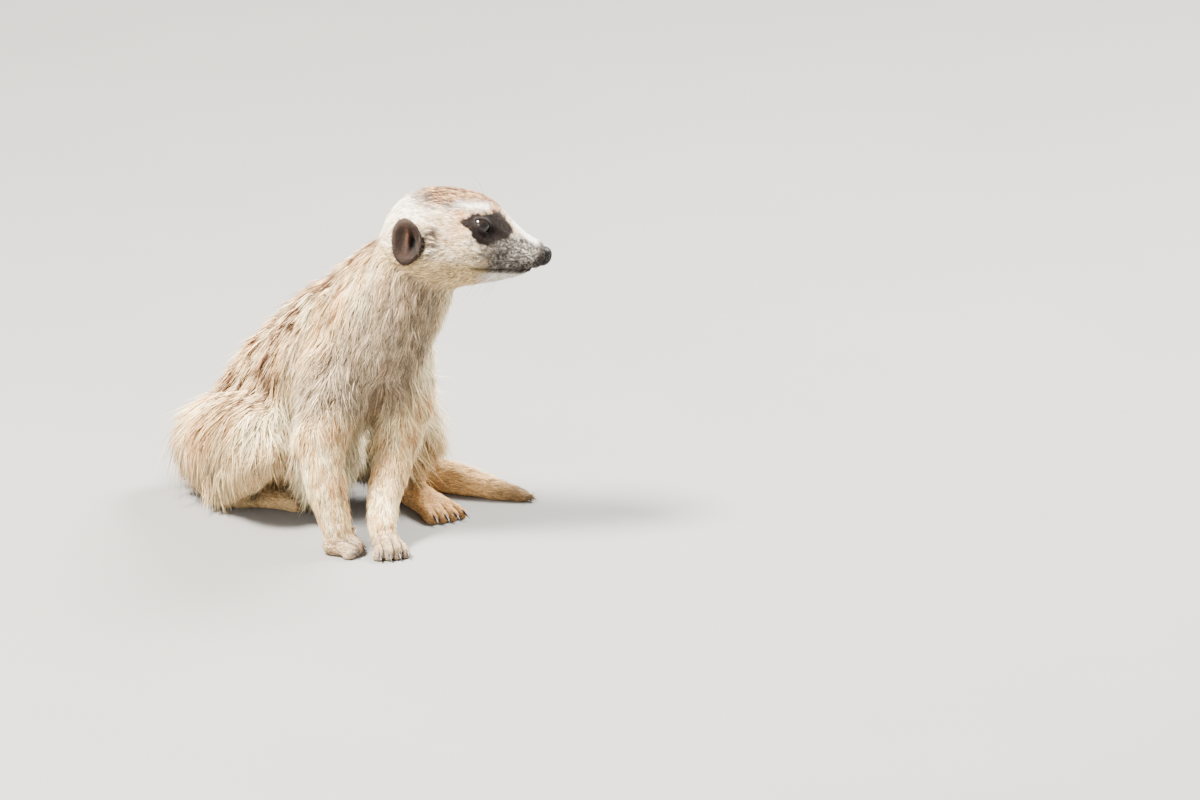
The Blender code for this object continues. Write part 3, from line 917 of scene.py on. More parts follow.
    def limb_colour(self, points: Array, labels: Array) -> Array:
        """Colour of legs, feet and tail: pale legs with tan strokes, golden hind foot and tail, grizzled forepaws.

        Args:
            points: places, one to a row.
            labels: number of the CAD node under each place.

        Returns:
            Scene-linear colours.
        """
        names = np.array(FLESH)[labels]
        streak = noise(points, 2.2, 21, (1.0, 1.0, 0.3))
        stroke = noise(points, 1.1, 22, (1.0, 1.0, 0.2))
        gold = mix(Tint.GOLD, Tint.CREAM, streak * 0.6)
        tips = self.toes.tips(points)
        fore, hind, tail = (np.char.startswith(names, part) for part in ("forepaw", "hindpaw", "tail"))
        leg = layers(mix(Tint.PALE, Tint.CREAM, 0.35 + 0.65 * ramp(streak, 0.2, 0.6)),
                     (Tint.PEACH, 0.3 * ramp(streak, 0.55, 0.85)), (Tint.TAN, 0.75 * ramp(stroke, 0.54, 0.66)))
        colour = np.where((names == "hindpaw_left")[:, None], gold, leg)
        half_gold = np.isin(names, ("shank_left", "hindpaw_right"))[:, None]
        colour = layers(
            np.where(half_gold, mix(gold, Tint.CREAM, 0.55 + 0.45 * streak), colour),
            (mix(Tint.SALT, Tint.GREY, 0.8 * ramp(noise(points, 0.8, 23), 0.38, 0.55)), fore * (0.60 + 0.40 * tips)),
            # GINGER on the hind feet, strongest by the claws: partly the feet's own colour, partly painted shade of the
            # feet under the body.
            (Tint.GINGER, hind * (0.10 + 0.55 * tips)),
            # UMBER in the furrows between the toes: painted shade in the gaps between the toes.
            (Tint.UMBER, 0.97 * self.toes.furrow(points)))
        upper = ramp(points[:, 2], 11.0, 17.0)
        end = ramp(points[:, 0], 116.0, 132.0) * (names == "tail_tip")
        tan = layers(gold, (Tint.CREAM, 0.35), (Tint.TAN, 0.50 * upper * ramp(streak, 0.2, 0.7)),
                     (Tint.UMBER, 0.7 * end))
        return np.where(tail[:, None], tan, colour)

    def colour(self, surface: Surface, points: Array, at: Array) -> Array:
        """Colour at places on a surface, blended where head, trunk and limbs meet.

        Args:
            surface: the skin.
            points: places in the body's frame.
            at: nearest surface point of each place.

        Returns:
            Scene-linear colours, one row for each place.
        """
        zones = surface.zones[at][:, :, None]
        parts = (self.head_colour(points), self.trunk_colour(points), self.limb_colour(points, surface.labels[at]))
        mixed = sum(colour * zones[:, k] for k, colour in enumerate(parts))
        return self.ear_fringe(mixed / zones.sum(axis=1), points)

    def dark_share(self, surface: Surface, points: Array, at: Array) -> Array:
        """Share of tufts that are dark-tipped guard hairs, from 0 to 1.

        Args:
            surface: the skin.
            points: places, one to a row.
            at: nearest surface point of each place.

        Returns:
            One share for each place.
        """
        head, trunk, _ = surface.zones[at].T
        front, left = self.along_trunk(points)
        h = self.frames.to_head(points)
        face = 0.30 + 0.32 * ramp(h[:, 2], 12.0, 18.0) + 0.16 * ramp(h[:, 0], 18.0, 28.0) * ramp(h[:, 2], -13.0, -9.0)
        body = 0.08 + 0.44 * ramp(points[:, 2], 58.0, 76.0) * ramp(front, 30.0, 54.0)
        # Fewer dark-tipped hairs on the front's far left side, part of the painted highlight there.
        return head * face + trunk * body * (1.0 - ramp(left, 16.0, 26.0)) + 0.06


# ---------------------------------------------------------------- the skin

@dataclass
class Skin:
    """One skin over all the nodes of flesh, inside them by the depth of the coat.

    The nodes are swelled until they close the cuts between them, fused on a grid, refined on the face and
    the paws, smoothed, sunk by the coat's depth, and given sockets, lids, lips and beds for ears and nose.
    """
    frames: BodyFrames
    markings: Markings
    grid: float = 1.45                  # cell of the fused mesh
    swell: float = 0.35                 # how far the nodes grow before they are fused
    rounds: int = 26                    # of smoothing
    lid: float = 0.35                   # thickness of an eyelid
    opening: tuple[float, float] = (54.0, 28.0)     # half-angles of the eye opening, along and up
    eye_radius: float = 5.2
    ear_bed: float = 20.6               # distance of the skin under the ears from the head's middle plane
    ear_size: tuple[float, float] = (8.6, 11.8)     # half-length and half-height of an ear's bed
    socket: float = 1.3                 # how far the socket's floor lies behind the eyeball's surface
    furrow_depth: float = 0.9
    blend_rounds: int = 22              # how far the coat's sizes blend from node to node
    lie_rounds: int = 24                # how far its lie does
    label_seed: int = 2
    whorl: Triple = (22.0, 9.0, 13.0)   # the chest's whorl, from the chest's middle and the near foreleg's top

    def fused(self) -> Mesh:
        """All the nodes of flesh, with the eyes and the nose to fill their sockets, as one mesh on a grid.

        Returns:
            The fused mesh, in metres.
        """
        places, faces, offset = [], [], 0
        for name in (*FLESH, "eye_left", "eye_right", "nose"):
            points, triangles = node_shell(name)
            places.append(points + point_normals(points, triangles) * self.swell)
            faces.append(triangles + offset)
            offset += len(points)
        rough = bpy.data.meshes.new("rough")
        rough.from_pydata((np.concatenate(places) * MM).tolist(), [], np.concatenate(faces).tolist())
        holder = add_object("rough", rough)
        remesh = holder.modifiers.new("fuse", "REMESH")
        remesh.mode = "VOXEL"
        remesh.voxel_size = self.grid * MM
        made = bpy.data.meshes.new_from_object(holder.evaluated_get(bpy.context.evaluated_depsgraph_get()))
        bpy.data.objects.remove(holder)
        return made

    def refine(self, mesh: Mesh) -> Pair:
        """Split the edges of the face and paws once, those round the eyes twice, and make all triangles.

        Args:
            mesh: the fused mesh.

        Returns:
            Points in millimetres and triangles.
        """
        shape = bmesh.new()
        shape.from_mesh(mesh)
        for level in range(2):
            shape.verts.ensure_lookup_table()
            places = np.array([vert.co for vert in shape.verts]) / MM
            head = self.frames.to_head(places)
            head[:, 1] = np.abs(head[:, 1])
            if level == 0:
                fine = (head[:, 0] > -2.0) & (head[:, 1] < 30.0) & (np.abs(head[:, 2]) < 32.0)
                for middle, half in map(node_box, PAWS):
                    fine |= (np.abs(places - middle) < half + 1.0).all(axis=1)
            else:
                fine = np.linalg.norm(head - np.array(self.frames.eye), axis=1) < 9.5
            edges = [edge for edge in shape.edges if fine[edge.verts[0].index] and fine[edge.verts[1].index]]
            bmesh.ops.subdivide_edges(shape, edges=edges, cuts=1, use_grid_fill=True)
            shape.verts.index_update()
        bmesh.ops.triangulate(shape, faces=shape.faces)
        shape.verts.index_update()
        points = np.array([vert.co for vert in shape.verts]) / MM
        triangles = np.array([[vert.index for vert in face.verts] for face in shape.faces])
        shape.free()
        return points, triangles

    def node_labels(self, points: Array, cell: float = 1.6) -> Array:
        """The number of the CAD node under each point.

        Random places on the nodes number the cells of a grid, and empty cells take a neighbour's number
        until every point lies in a numbered one.

        Args:
            points: places, one to a row.
            cell: side of the grid's cells.

        Returns:
            One number of FLESH for each place.
        """
        rng = np.random.default_rng(self.label_seed)
        low = points.min(axis=0) - 4 * cell
        numbers = np.full(np.ceil(np.ptp(points, axis=0) / cell).astype(int) + 9, -1)
        for number, name in enumerate(FLESH):
            corners, triangles = node_shell(name)
            area = np.linalg.norm(crosses(corners, triangles), axis=1)
            picks = rng.choice(len(triangles), size=int(area.sum()), p=area / area.sum())
            weight = rng.dirichlet((1.0, 1.0, 1.0), len(picks))
            place = (corners[triangles[picks]] * weight[:, :, None]).sum(axis=1)
            numbers[tuple(((place - low) / cell).astype(int).T)] = number
        wanted = tuple(((points - low) / cell).astype(int).T)
        while (numbers[wanted] < 0).any():
            for axis, step in itertools.product(range(3), (1, -1)):
                numbers = np.where(numbers < 0, np.roll(numbers, step, axis), numbers)
        return numbers[wanted]

    def smoothed(self, points: Array, table: Array) -> Array:
        """Soften facets without shrinking: a step towards the neighbours' mean, then a longer one back.

        Args:
            points: places, one to a row.
            table: each point's neighbours.

        Returns:
            The softened places.
        """
        for push in (0.6, -0.62) * self.rounds:
            points = points + push * (points[table].mean(axis=1) - points)
        return points

    def lie_of_coat(self, points: Array, normals: Array, labels: Array, table: Array) -> Array:
        """Unit directions along the surface in which the coat lies.

        Each node has its own way; on the head it leads away from the nose. The ways are averaged over the
        surface, and then the chest's turns out of a whorl over the near foreleg.

        Args:
            points: places, one to a row.
            normals: unit normal at each place.
            labels: number of the CAD node under each place.
            table: each point's neighbours.

        Returns:
            One unit vector for each place.
        """
        head = self.frames.to_head(points)
        away = head - np.array([47.0, 0.0, -4.0])
        away[:, 2] = away[:, 2] * 0.9 - 4.0 * ramp(head[:, 0], 0.0, -30.0)
        away = unit(away) @ self.frames.head_axes
        lie = np.array([LAYS[name].toward for name in FLESH])[labels]
        lie = unit(tangent(np.where((labels == HEAD)[:, None], away, lie), normals))
        for _ in range(self.lie_rounds):
            lie = unit(tangent(lie[table].mean(axis=1), normals))
        shoulder, half = node_box("foreleg_upper_right")
        out = points - np.array([node_middle("chest")[0], shoulder[1], shoulder[2] + half[2]]) - np.array(self.whorl)
        return unit(tangent(lie + 2.4 * bell(np.linalg.norm(out, axis=1), 0.0, 11.0)[:, None] * unit(out), normals))

    def almond(self, around: Array) -> Array:
        """Half-angle of the eye opening at each angle round the gaze, in degrees: an oval with two corners.

        Args:
            around: angles round the gaze, 0 at the front corner.

        Returns:
            Degrees off the gaze.
        """
        along, up = self.opening
        oval = 1.0 / np.hypot(np.cos(around) / along, np.sin(around) / up)
        return oval + 8.0 * bell(np.sin(around), 0.0, 0.22)

    def about_eye(self, head: Array, sign: float) -> tuple[Array, Array, Array, Array]:
        """Places along an eye's axes, their distance, their angle off its gaze and the opening's there.

        Args:
            head: places in the head's frame.
            sign: +1 for the left side, -1 for the right.

        Returns:
            The four, for each place; both angles are in degrees.
        """
        local = (head - mirrored(self.frames.eye, sign)) @ self.frames.eye_basis(sign).T
        reach = np.linalg.norm(local, axis=1)
        off_axis = np.degrees(np.arccos(np.clip(local[:, 0] / (reach + 1e-6), -1.0, 1.0)))
        return local, reach, off_axis, self.almond(np.arctan2(local[:, 2], local[:, 1]))

    def open_eyes(self, points: Array) -> Array:
        """Sink the sockets and lay the lids on the eyeballs.

        In angles about the eye's gaze, inside an almond the skin goes behind the eyeball, round it the
        skin lies on the eyeball by a lid's thickness, and further out it keeps its own distance.

        Args:
            points: places, one to a row.

        Returns:
            The moved places.
        """
        head = self.frames.to_head(points)
        lid = self.eye_radius + self.lid
        for sign in (1.0, -1.0):
            local, reach, off_axis, limit = self.about_eye(head, sign)
            outer = 1.0 - ramp(off_axis, limit + 32.0, limit + 8.0) * ramp(reach, 11.5, 7.0)
            wanted = np.where(off_axis < limit, self.eye_radius - self.socket, lid + (reach - lid) * outer)
            near = (reach < 14.0) & (off_axis < 100.0)
            moved = local * (wanted / (reach + 1e-6))[:, None]
            placed = mirrored(self.frames.eye, sign) + moved @ self.frames.eye_basis(sign)
            head = np.where(near[:, None], placed, head)
        return self.frames.from_head(head)

    def face_features(self, points: Array, normals: Array) -> Array:
        """Lips, brows, cheeks, whisker pads and snout as offsets along the normals, in the head's frame.

        Args:
            points: places, one to a row.
            normals: unit normal at each place.

        Returns:
            The moved places.
        """
        h = self.frames.to_head(points)
        x, y, z = h[:, 0], np.abs(h[:, 1]), h[:, 2]
        near = ramp(x, 5.0, 12.0)
        over_lip = z - self.markings.lip_height(x)
        mouth = 0.45 * bell(over_lip, 1.8, 1.3) * near - 0.9 * bell(over_lip, 0.0, 0.75) * near
        brow = 0.9 * bell(x, 12.0, 5.0) * bell(z, 17.0, 2.2) * bell(y, 12.5, 5.0)
        tear = -0.5 * bell(x, 20.5, 3.2) * bell(z, 6.0, 2.5) * ramp(y, 6.0, 9.0)
        cheek = 0.8 * bell(x, 12.0, 7.0) * bell(z, -6.0, 5.0) * ramp(y, 8.0, 13.0)
        whisker_pad = 0.7 * bell(x, 35.0, 5.0) * bell(z, -4.5, 3.0) * ramp(y, 3.0, 6.0)
        snout = ramp(x, 33.0, 41.0) * (ramp(z, -8.0, -4.0) - ramp(z, -6.0, -10.0))
        offset = mouth + brow + tear + cheek + whisker_pad + snout
        return points + normals * (offset * (y < 28.0) * (x > -6.0))[:, None]

    def build(self) -> Surface:
        """The skin's surface with its lie, zones and the coat's sizes.

        Returns:
            The surface on which the coat grows.
        """
        points, triangles = self.refine(self.fused())
        table = neighbour_table(triangles, len(points))
        labels = self.node_labels(points)
        points = self.smoothed(points, table)
        head = self.frames.to_head(points)
        on_head, on_chest = labels == HEAD, labels == CHEST
        face = ramp(head[:, 0], -6.0, 12.0) * ramp(head[:, 2], -22.0, -14.0) * spread(on_head.astype(float), table, 4)
        back = ramp(self.markings.along_trunk(points)[0], 40.0, 20.0) * on_chest
        breast = self.markings.breast(points) * (1.0 - ramp(head[:, 0], -30.0, -20.0) * on_head)
        sizes = {}
        for key, on_face, on_breast, on_back in (("length", -0.45, -0.22, -0.25), ("width", -0.22, -0.30, -0.12),
                                                 ("depth", -0.50, 0.0, 0.0), ("share", 0.45, 0.35, 0.30),
                                                 ("lock", 0.0, 0.0, 0.0)):
            values = np.array([getattr(LAYS[name], key) for name in FLESH])[labels]
            sizes[key] = spread(values, table, self.blend_rounds) * (1.0 + on_face * face)
            sizes[key] *= 1.0 + on_breast * breast + on_back * back
        depth = sizes["depth"] * np.clip(points[:, 2] / 9.0, 0.12, 1.0)
        for _ in range(4):
            points = points - point_normals(points, triangles) * (depth / 4)[:, None]
        points = self.bed_ears(points)
        furrow = self.markings.toes.furrow(points)
        points = points - point_normals(points, triangles) * (self.furrow_depth * furrow)[:, None]
        points = self.face_features(points, point_normals(points, triangles))
        points = self.bed_nose(self.open_eyes(points))
        points[:, 2] = np.maximum(points[:, 2], 0.0)
        normals = point_normals(points, triangles)
        sizes["share"] *= self.room_for_coat(points) * (1.0 - 0.7 * furrow)
        sizes["length"] *= self.short_by_features(points)
        return Surface(points=points, triangles=triangles, normals=normals, table=table, labels=labels,
                       lie=self.lie_of_coat(points, normals, labels, table), zones=self.zones(labels, table), **sizes)

    def zones(self, labels: Array, table: Array) -> Array:
        """How much each point belongs to the head, the trunk and the limbs.

        Args:
            labels: number of the CAD node under each place.
            table: each point's neighbours.

        Returns:
            Three shares for each point.
        """
        names = np.array(FLESH)[labels]
        head, trunk = names == "head", np.isin(names, ("neck", "chest", "rump", "thigh_right", "thigh_left"))
        return spread(np.stack([head, trunk, ~head & ~trunk], axis=1).astype(float), table, 5) + 1e-6

    def ear_place(self, head: Array) -> Array:
        """Distance from an ear's middle as a share of the ear's size, in the plane of the cheek.

        Args:
            head: places in the head's frame.

        Returns:
            The share for each place, far over 1 by the head's middle plane.
        """
        ear = self.frames.ear
        place = np.hypot((head[:, 0] - ear[0]) / self.ear_size[0], (head[:, 2] - ear[2]) / self.ear_size[1])
        return place + 4.0 * (np.abs(head[:, 1]) < 12.0)

    def nose_reach(self, head: Array) -> Array:
        """Distance from the nose pad's middle as a share of the pad's size."""
        return np.linalg.norm((head - np.array(self.frames.nose)) / np.array(self.frames.nose_radii), axis=1)

    def bed_ears(self, points: Array) -> Array:
        """Keep the skin behind each ear, rising again round it, in the head's frame.

        Args:
            points: places, one to a row.

        Returns:
            The moved places.
        """
        head = self.frames.to_head(points)
        place = self.ear_place(head)
        most = self.ear_bed + 12.0 * ramp(place, 0.95, 1.55)
        near = (np.abs(head[:, 1]) > 12.0) & (place < 1.55)
        head[:, 1] = np.where(near, np.clip(head[:, 1], -most, most), head[:, 1])
        return self.frames.from_head(head)

    def bed_nose(self, points: Array) -> Array:
        """Draw the skin under the nose pad in to 0.8 of the pad's size.

        Args:
            points: places, one to a row.

        Returns:
            The moved places.
        """
        head = self.frames.to_head(points)
        middle = np.array(self.frames.nose)
        reach = self.nose_reach(head)
        inner = np.minimum(reach, 0.8 + 0.45 * ramp(reach, 1.02, 1.30))
        scale = np.where((reach < 1.3) & (head[:, 0] > middle[0] - 3.5), inner / (reach + 1e-6), 1.0)
        return self.frames.from_head(middle + (head - middle) * scale[:, None])

    def room_for_coat(self, points: Array) -> Array:
        """0 where no tuft grows: eye openings, nose pad, under the ears and against the floor; else 1.

        Args:
            points: places, one to a row.

        Returns:
            A factor on the number of tufts at each place.
        """
        head = self.frames.to_head(points)
        room = ramp(points[:, 2], 0.5, 1.2) * ramp(self.ear_place(head), 0.84, 0.95)
        for sign in (1.0, -1.0):
            _, reach, off_axis, limit = self.about_eye(head, sign)
            room = room * np.where(reach < 12.0, ramp(off_axis, limit + 3.0, limit + 7.0), 1.0)
        return room * ramp(self.nose_reach(head), 1.02, 1.12)

    def short_by_features(self, points: Array) -> Array:
        """Share of full length that tufts have beside the eyes, the nose and in front of the ears.

        Args:
            points: places, one to a row.

        Returns:
            A factor on their length at each place.
        """
        head = self.frames.to_head(points)
        side = np.stack([head[:, 0], np.abs(head[:, 1]), head[:, 2]], axis=1)
        eye = ramp(np.linalg.norm(side - np.array(self.frames.eye), axis=1), 6.0, 14.0)
        nose = ramp(self.nose_reach(head), 1.0, 3.6)
        ear = np.maximum(ramp(self.ear_place(head), 0.95, 1.5), head[:, 0] < self.frames.ear[0] - 2.0)
        return (0.36 + 0.64 * eye) * (0.4 + 0.6 * nose) * (0.3 + 0.7 * ear)

    def dress(self, surface: Surface, material: Material) -> None:
        """Put the skin into the scene in place of the nodes of flesh, with the markings darkened to 0.72 as painted
        shade under the coat, and a lip line.

        Args:
            surface: the skin.
            material: the piece's finish.
        """
        points = surface.points
        head = self.frames.to_head(points)
        line = bell(head[:, 2] - self.markings.lip_height(head[:, 0]), 0.0, 0.7) * ramp(head[:, 0], 6.0, 13.0)
        line *= (np.abs(head[:, 1]) < 20.0) * surface.zones[:, 0]
        # The markings times 0.72: painted shade on the skin under the coat.
        colours = mix(self.markings.colour(surface, points, np.arange(len(points))) * 0.72, Tint.SKIN_DARK,
                      np.clip(line, 0.0, 1.0))
        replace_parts(make_piece("skin", points, surface.triangles, material, colours), *FLESH)


# ---------------------------------------------------------------- the coat

TUFT_TRIANGLES = np.array([[0, 2, 1], [0, 3, 2], [0, 1, 3], [4, 1, 2], [4, 2, 3], [4, 3, 1]])
TUFT_PATCH = np.array([[0.0, -1.0], [-1.0, 0.0], [1.0, 0.0], [0.0, 0.2], [0.0, 1.0]]) * 0.0015
MOST_TRIANGLES = 195000
STRAND_SEEDS = 40               # the strands' seeds start this far after the locks'


@dataclass
class Coat:
    """One piece of the coat: closed six-sided tufts, each a root, a ring of three points and a tip."""
    name: str
    nodes: tuple[str, ...]
    seed: int
    slot: str = "coat_cream"
    fore: bool | None = None            # only the face or the breast (True), only what lies behind it (False)
    lock_size: float = 5.0
    ring_at: float = 0.38               # share of the length at which a tuft is widest
    unruly: float = 0.14                # spread of the tufts' turns about the lie, in radians
    stray: float = 0.06                 # share of long stray hairs
    stray_lift: float = 1.5             # how much further they stand out
    raised: float = 1.0                 # how much some strands stand out of the rest
    lift: float = 1.0                   # height of the tips as a share of the coat's depth
    hang: float = 0.0                   # how far the tufts of an underside hang down
    contrast: float = 0.70              # spread of the tufts' brightness
    edge_shade: float = 0.36            # painted shade between locks: how much darker the edge of a lock is
    strand: float = 0.40                # size of the strands within a lock, as a share of the lock's
    rooted: float = 0.35                # how deep the roots go into the skin
    floor_gap: float = 0.12             # how far the tufts stay above the floor
    tip_led: float = 0.0                # how far the marking under a tuft's tip colours its middle too

    def patch(self, surface: Surface, skin: Skin) -> Array:
        """The triangles of the skin that this piece covers.

        Args:
            surface: the skin.
            skin: the skin's maker, with its frames and markings.

        Returns:
            Rows of three point numbers.
        """
        wanted = np.isin(surface.labels, [FLESH.index(name) for name in self.nodes])
        if self.fore is not None:
            face = skin.frames.to_head(surface.points)[:, 0] > 1.0
            breast = skin.markings.along_trunk(surface.points)[0] > 34.0
            wanted &= np.where(surface.labels == HEAD, face, breast) == self.fore
        return surface.triangles[wanted[surface.triangles[:, 0]]]

    def scatter(self, surface: Surface, triangles: Array, rng: np.random.Generator) -> Pair:
        """Roots spread evenly by area and density over triangles, and the nearest surface point of each.

        Args:
            surface: the skin.
            triangles: where to plant.
            rng: source of the random draws.

        Returns:
            Root places and point numbers.
        """
        area = np.linalg.norm(crosses(surface.points, triangles), axis=1) / 2
        weight = np.cumsum(area * surface.share[triangles].mean(axis=1))
        count = min(int(weight[-1]), MOST_TRIANGLES // len(TUFT_TRIANGLES))
        LOG.info("%s wants %d tufts over %.0f square mm", self.name, int(weight[-1]), area.sum())
        drawn = (np.arange(count) + rng.random(count)) / count * weight[-1]
        pick = np.minimum(np.searchsorted(weight, drawn), len(triangles) - 1)
        share = rng.dirichlet((1.0, 1.0, 1.0), count)
        place = (surface.points[triangles[pick]] * share[:, :, None]).sum(axis=1)
        return place, triangles[pick, share.argmax(axis=1)]

    def grow(self, surface: Surface, skin: Skin, material: Material) -> None:
        """Make the tufts and put them into the scene.

        A tuft's root sits in the skin. Its ring and its tip lie one after the other on a walk along the lie,
        both are drawn to the middle of the lock and of the strand, and stand off the skin by 0.55 and 1.0 of
        the tuft's height. The tip also leaves a curved skin straight on, and hangs down under the body.

        Args:
            surface: the skin.
            skin: the skin's maker, with its frames and markings.
            material: the piece's finish.
        """
        rng = np.random.default_rng(self.seed)
        root, at = self.scatter(surface, self.patch(surface, skin), rng)
        count, under = len(root), surface.normals[at]
        centre, token = lock_of(root, self.lock_size, self.seed)
        strand, strand_token = lock_of(root, self.lock_size * self.strand, self.seed + STRAND_SEEDS)
        edge = sum(0.5 * np.clip(np.linalg.norm(root - middle, axis=1) / (self.lock_size * size), 0.0, 1.0) ** 2
                   for middle, size in ((centre, 0.62), (strand, 0.25)))
        raised = ramp(strand_token, 0.70, 0.95) * self.raised
        stray = rng.random(count) < self.stray
        length = surface.length[at] * rng.uniform(0.75, 1.15, count) * (0.85 + 0.3 * token) * (1.0 + 0.25 * raised)
        length *= np.where(stray, 1.25, 1.0)
        height = surface.depth[at] * self.lift * rng.uniform(0.6, 1.1, count) * (0.8 + 0.4 * token)
        height *= (1.0 - 0.45 * edge) * (1.0 + 0.7 * raised) * np.where(stray, self.stray_lift, 1.0)
        width = surface.width[at] * rng.uniform(0.7, 1.3, count) * np.where(stray, 0.6, 1.0)
        yaw = rng.normal(0.0, self.unruly, count) + 0.5 * (token - 0.5) + 0.35 * (strand_token - 0.5)
        ring, ring_near = surface.walk(root, at, yaw, length * self.ring_at)
        tip, tip_near = surface.walk(ring, ring_near, yaw, length * (1.0 - self.ring_at))
        seen = (ring, ring_near, tip, tip_near)
        ring_normal, tip_normal = surface.normals[ring_near], surface.normals[tip_near]
        straight = ring + unit(ring - root) * (length * (1.0 - self.ring_at))[:, None] - tip
        outward = (straight * tip_normal).sum(axis=1) > 0.0
        stiff = np.clip(0.25 + 0.55 * raised + 0.3 * stray, 0.0, 1.0) * outward
        pull = tangent(((centre - root) * 0.6 + (strand - root) * 0.7) * surface.lock[at][:, None], under)
        hang = ramp(-under[:, 2], 0.25, 0.8) * self.hang
        ring = ring + pull * 0.35 + ring_normal * (height * 0.55)[:, None]
        tip = tip + straight * stiff[:, None] + pull * 1.1 + tip_normal * height[:, None]
        tip[:, 2] -= length * hang * rng.uniform(0.4, 0.9, count)
        base = root - under * self.rooted
        aside = unit(np.cross(ring_normal, tip - base))
        across = aside * (width / 2)[:, None]
        ridge = ring_normal * (width * 0.30)[:, None]
        points = np.stack([base, ring - across - ridge * 0.5, ring + across - ridge * 0.5, ring + ridge, tip], axis=1)
        points[:, :, 2] = np.maximum(points[:, :, 2], self.floor_gap)
        normals = np.stack([under, ring_normal - 1.4 * aside, ring_normal + 1.4 * aside, ring_normal, tip_normal],
                           axis=1)
        colours = self.colours(surface, skin, seen, token, edge, rng)
        triangles = (TUFT_TRIANGLES + 5 * np.arange(count)[:, None, None]).reshape(-1, 3)
        piece = make_piece(self.name, points.reshape(-1, 3), triangles, material, colours.reshape(-1, 3))
        piece.data.normals_split_custom_set_from_vertices(unit(normals).reshape(-1, 3).astype(np.float32))
        self.bake_map(piece, surface.labels[at], root, triangles)

    def colours(self, surface: Surface, skin: Skin, seen: tuple[Array, ...], token: Array, edge: Array,
                rng: np.random.Generator) -> Array:
        """Colours of each tuft's five points: painted shade at the root and at a lock's edge, some dark-tipped.

        Args:
            surface: the skin.
            skin: whose markings colour the coat.
            seen: places under the tuft's middle and tip, each with its nearest surface points.
            token: a random number for each lock.
            edge: 1 at the edge of a lock, 0 in its middle.
            rng: source of the random draws.

        Returns:
            Scene-linear colours: tufts, then points, then channels.
        """
        count = len(token)
        middle = skin.markings.colour(surface, *seen[:2])
        end = skin.markings.colour(surface, *seen[2:])
        pale = ramp(end.mean(axis=1), 0.60, 0.84)
        middle = mix(middle, end, self.tip_led)
        # shade: each tuft's random brightness and its lock's token, less the painted shade at a lock's edge
        shade = (1.0 - 0.70 * self.contrast + self.contrast * rng.random(count) + 0.16 * token
                 - self.edge_shade * edge)[:, None]
        dark = rng.random(count) < skin.markings.dark_share(surface, *seen[:2]) * (1.0 - 0.85 * pale)
        dark = dark * rng.uniform(0.5, 1.0, count)
        end = mix(end * shade * 1.12, Tint.UMBER, 0.85 * dark)
        middle = mix(middle * shade, Tint.UMBER, 0.60 * dark)
        # The root point is darkened to half: painted shade deep in the coat, near the skin.
        return np.clip(np.stack([middle * 0.5, middle, middle, middle, end], axis=1), 0.0, 0.95)

    def bake_map(self, piece: Object, labels: Array, root: Array, triangles: Array) -> None:
        """UV map in which each tuft is a patch 0.003 across at its root's place on an unwrap of the skin.

        Each node is unrolled round its own long axis: u is the angle about it, v the place along it, in
        one tile of the map for each node.

        Args:
            piece: the coat piece.
            labels: number of the CAD node under each root.
            root: place of each tuft's root.
            triangles: the piece's triangles.
        """
        tiles = math.ceil(math.sqrt(len(self.nodes)))
        uv = np.zeros((len(root), 2))
        for tile, name in enumerate(self.nodes):
            mine = labels == FLESH.index(name)
            if mine.any():
                away = root[mine] - root[mine].mean(axis=0)
                x, y, z = (away @ np.linalg.svd(away, full_matrices=False)[2].T).T
                place = np.column_stack([np.arctan2(z, y) / TURN + 0.5, (x - x.min()) / (np.ptp(x) + 1e-6)])
                uv[mine] = (np.array([tile % tiles, tile // tiles]) + 0.02 + 0.96 * place) / tiles
        corners = (uv[:, None] + TUFT_PATCH).reshape(-1, 2)[triangles.ravel()]
        piece.data.uv_layers.new(name="OFBake").data.foreach_set("uv", corners.astype(np.float32).ravel())


# ---------------------------------------------------------------- eyes, ears, nose, claws, whiskers

@dataclass
class Paired:
    """A feature of the head of which there is one on each side."""
    skin: Skin
    side: str

    @property
    def sign(self) -> float:
        """+1 for the left side, -1 for the right."""
        return 1.0 if self.side == "left" else -1.0


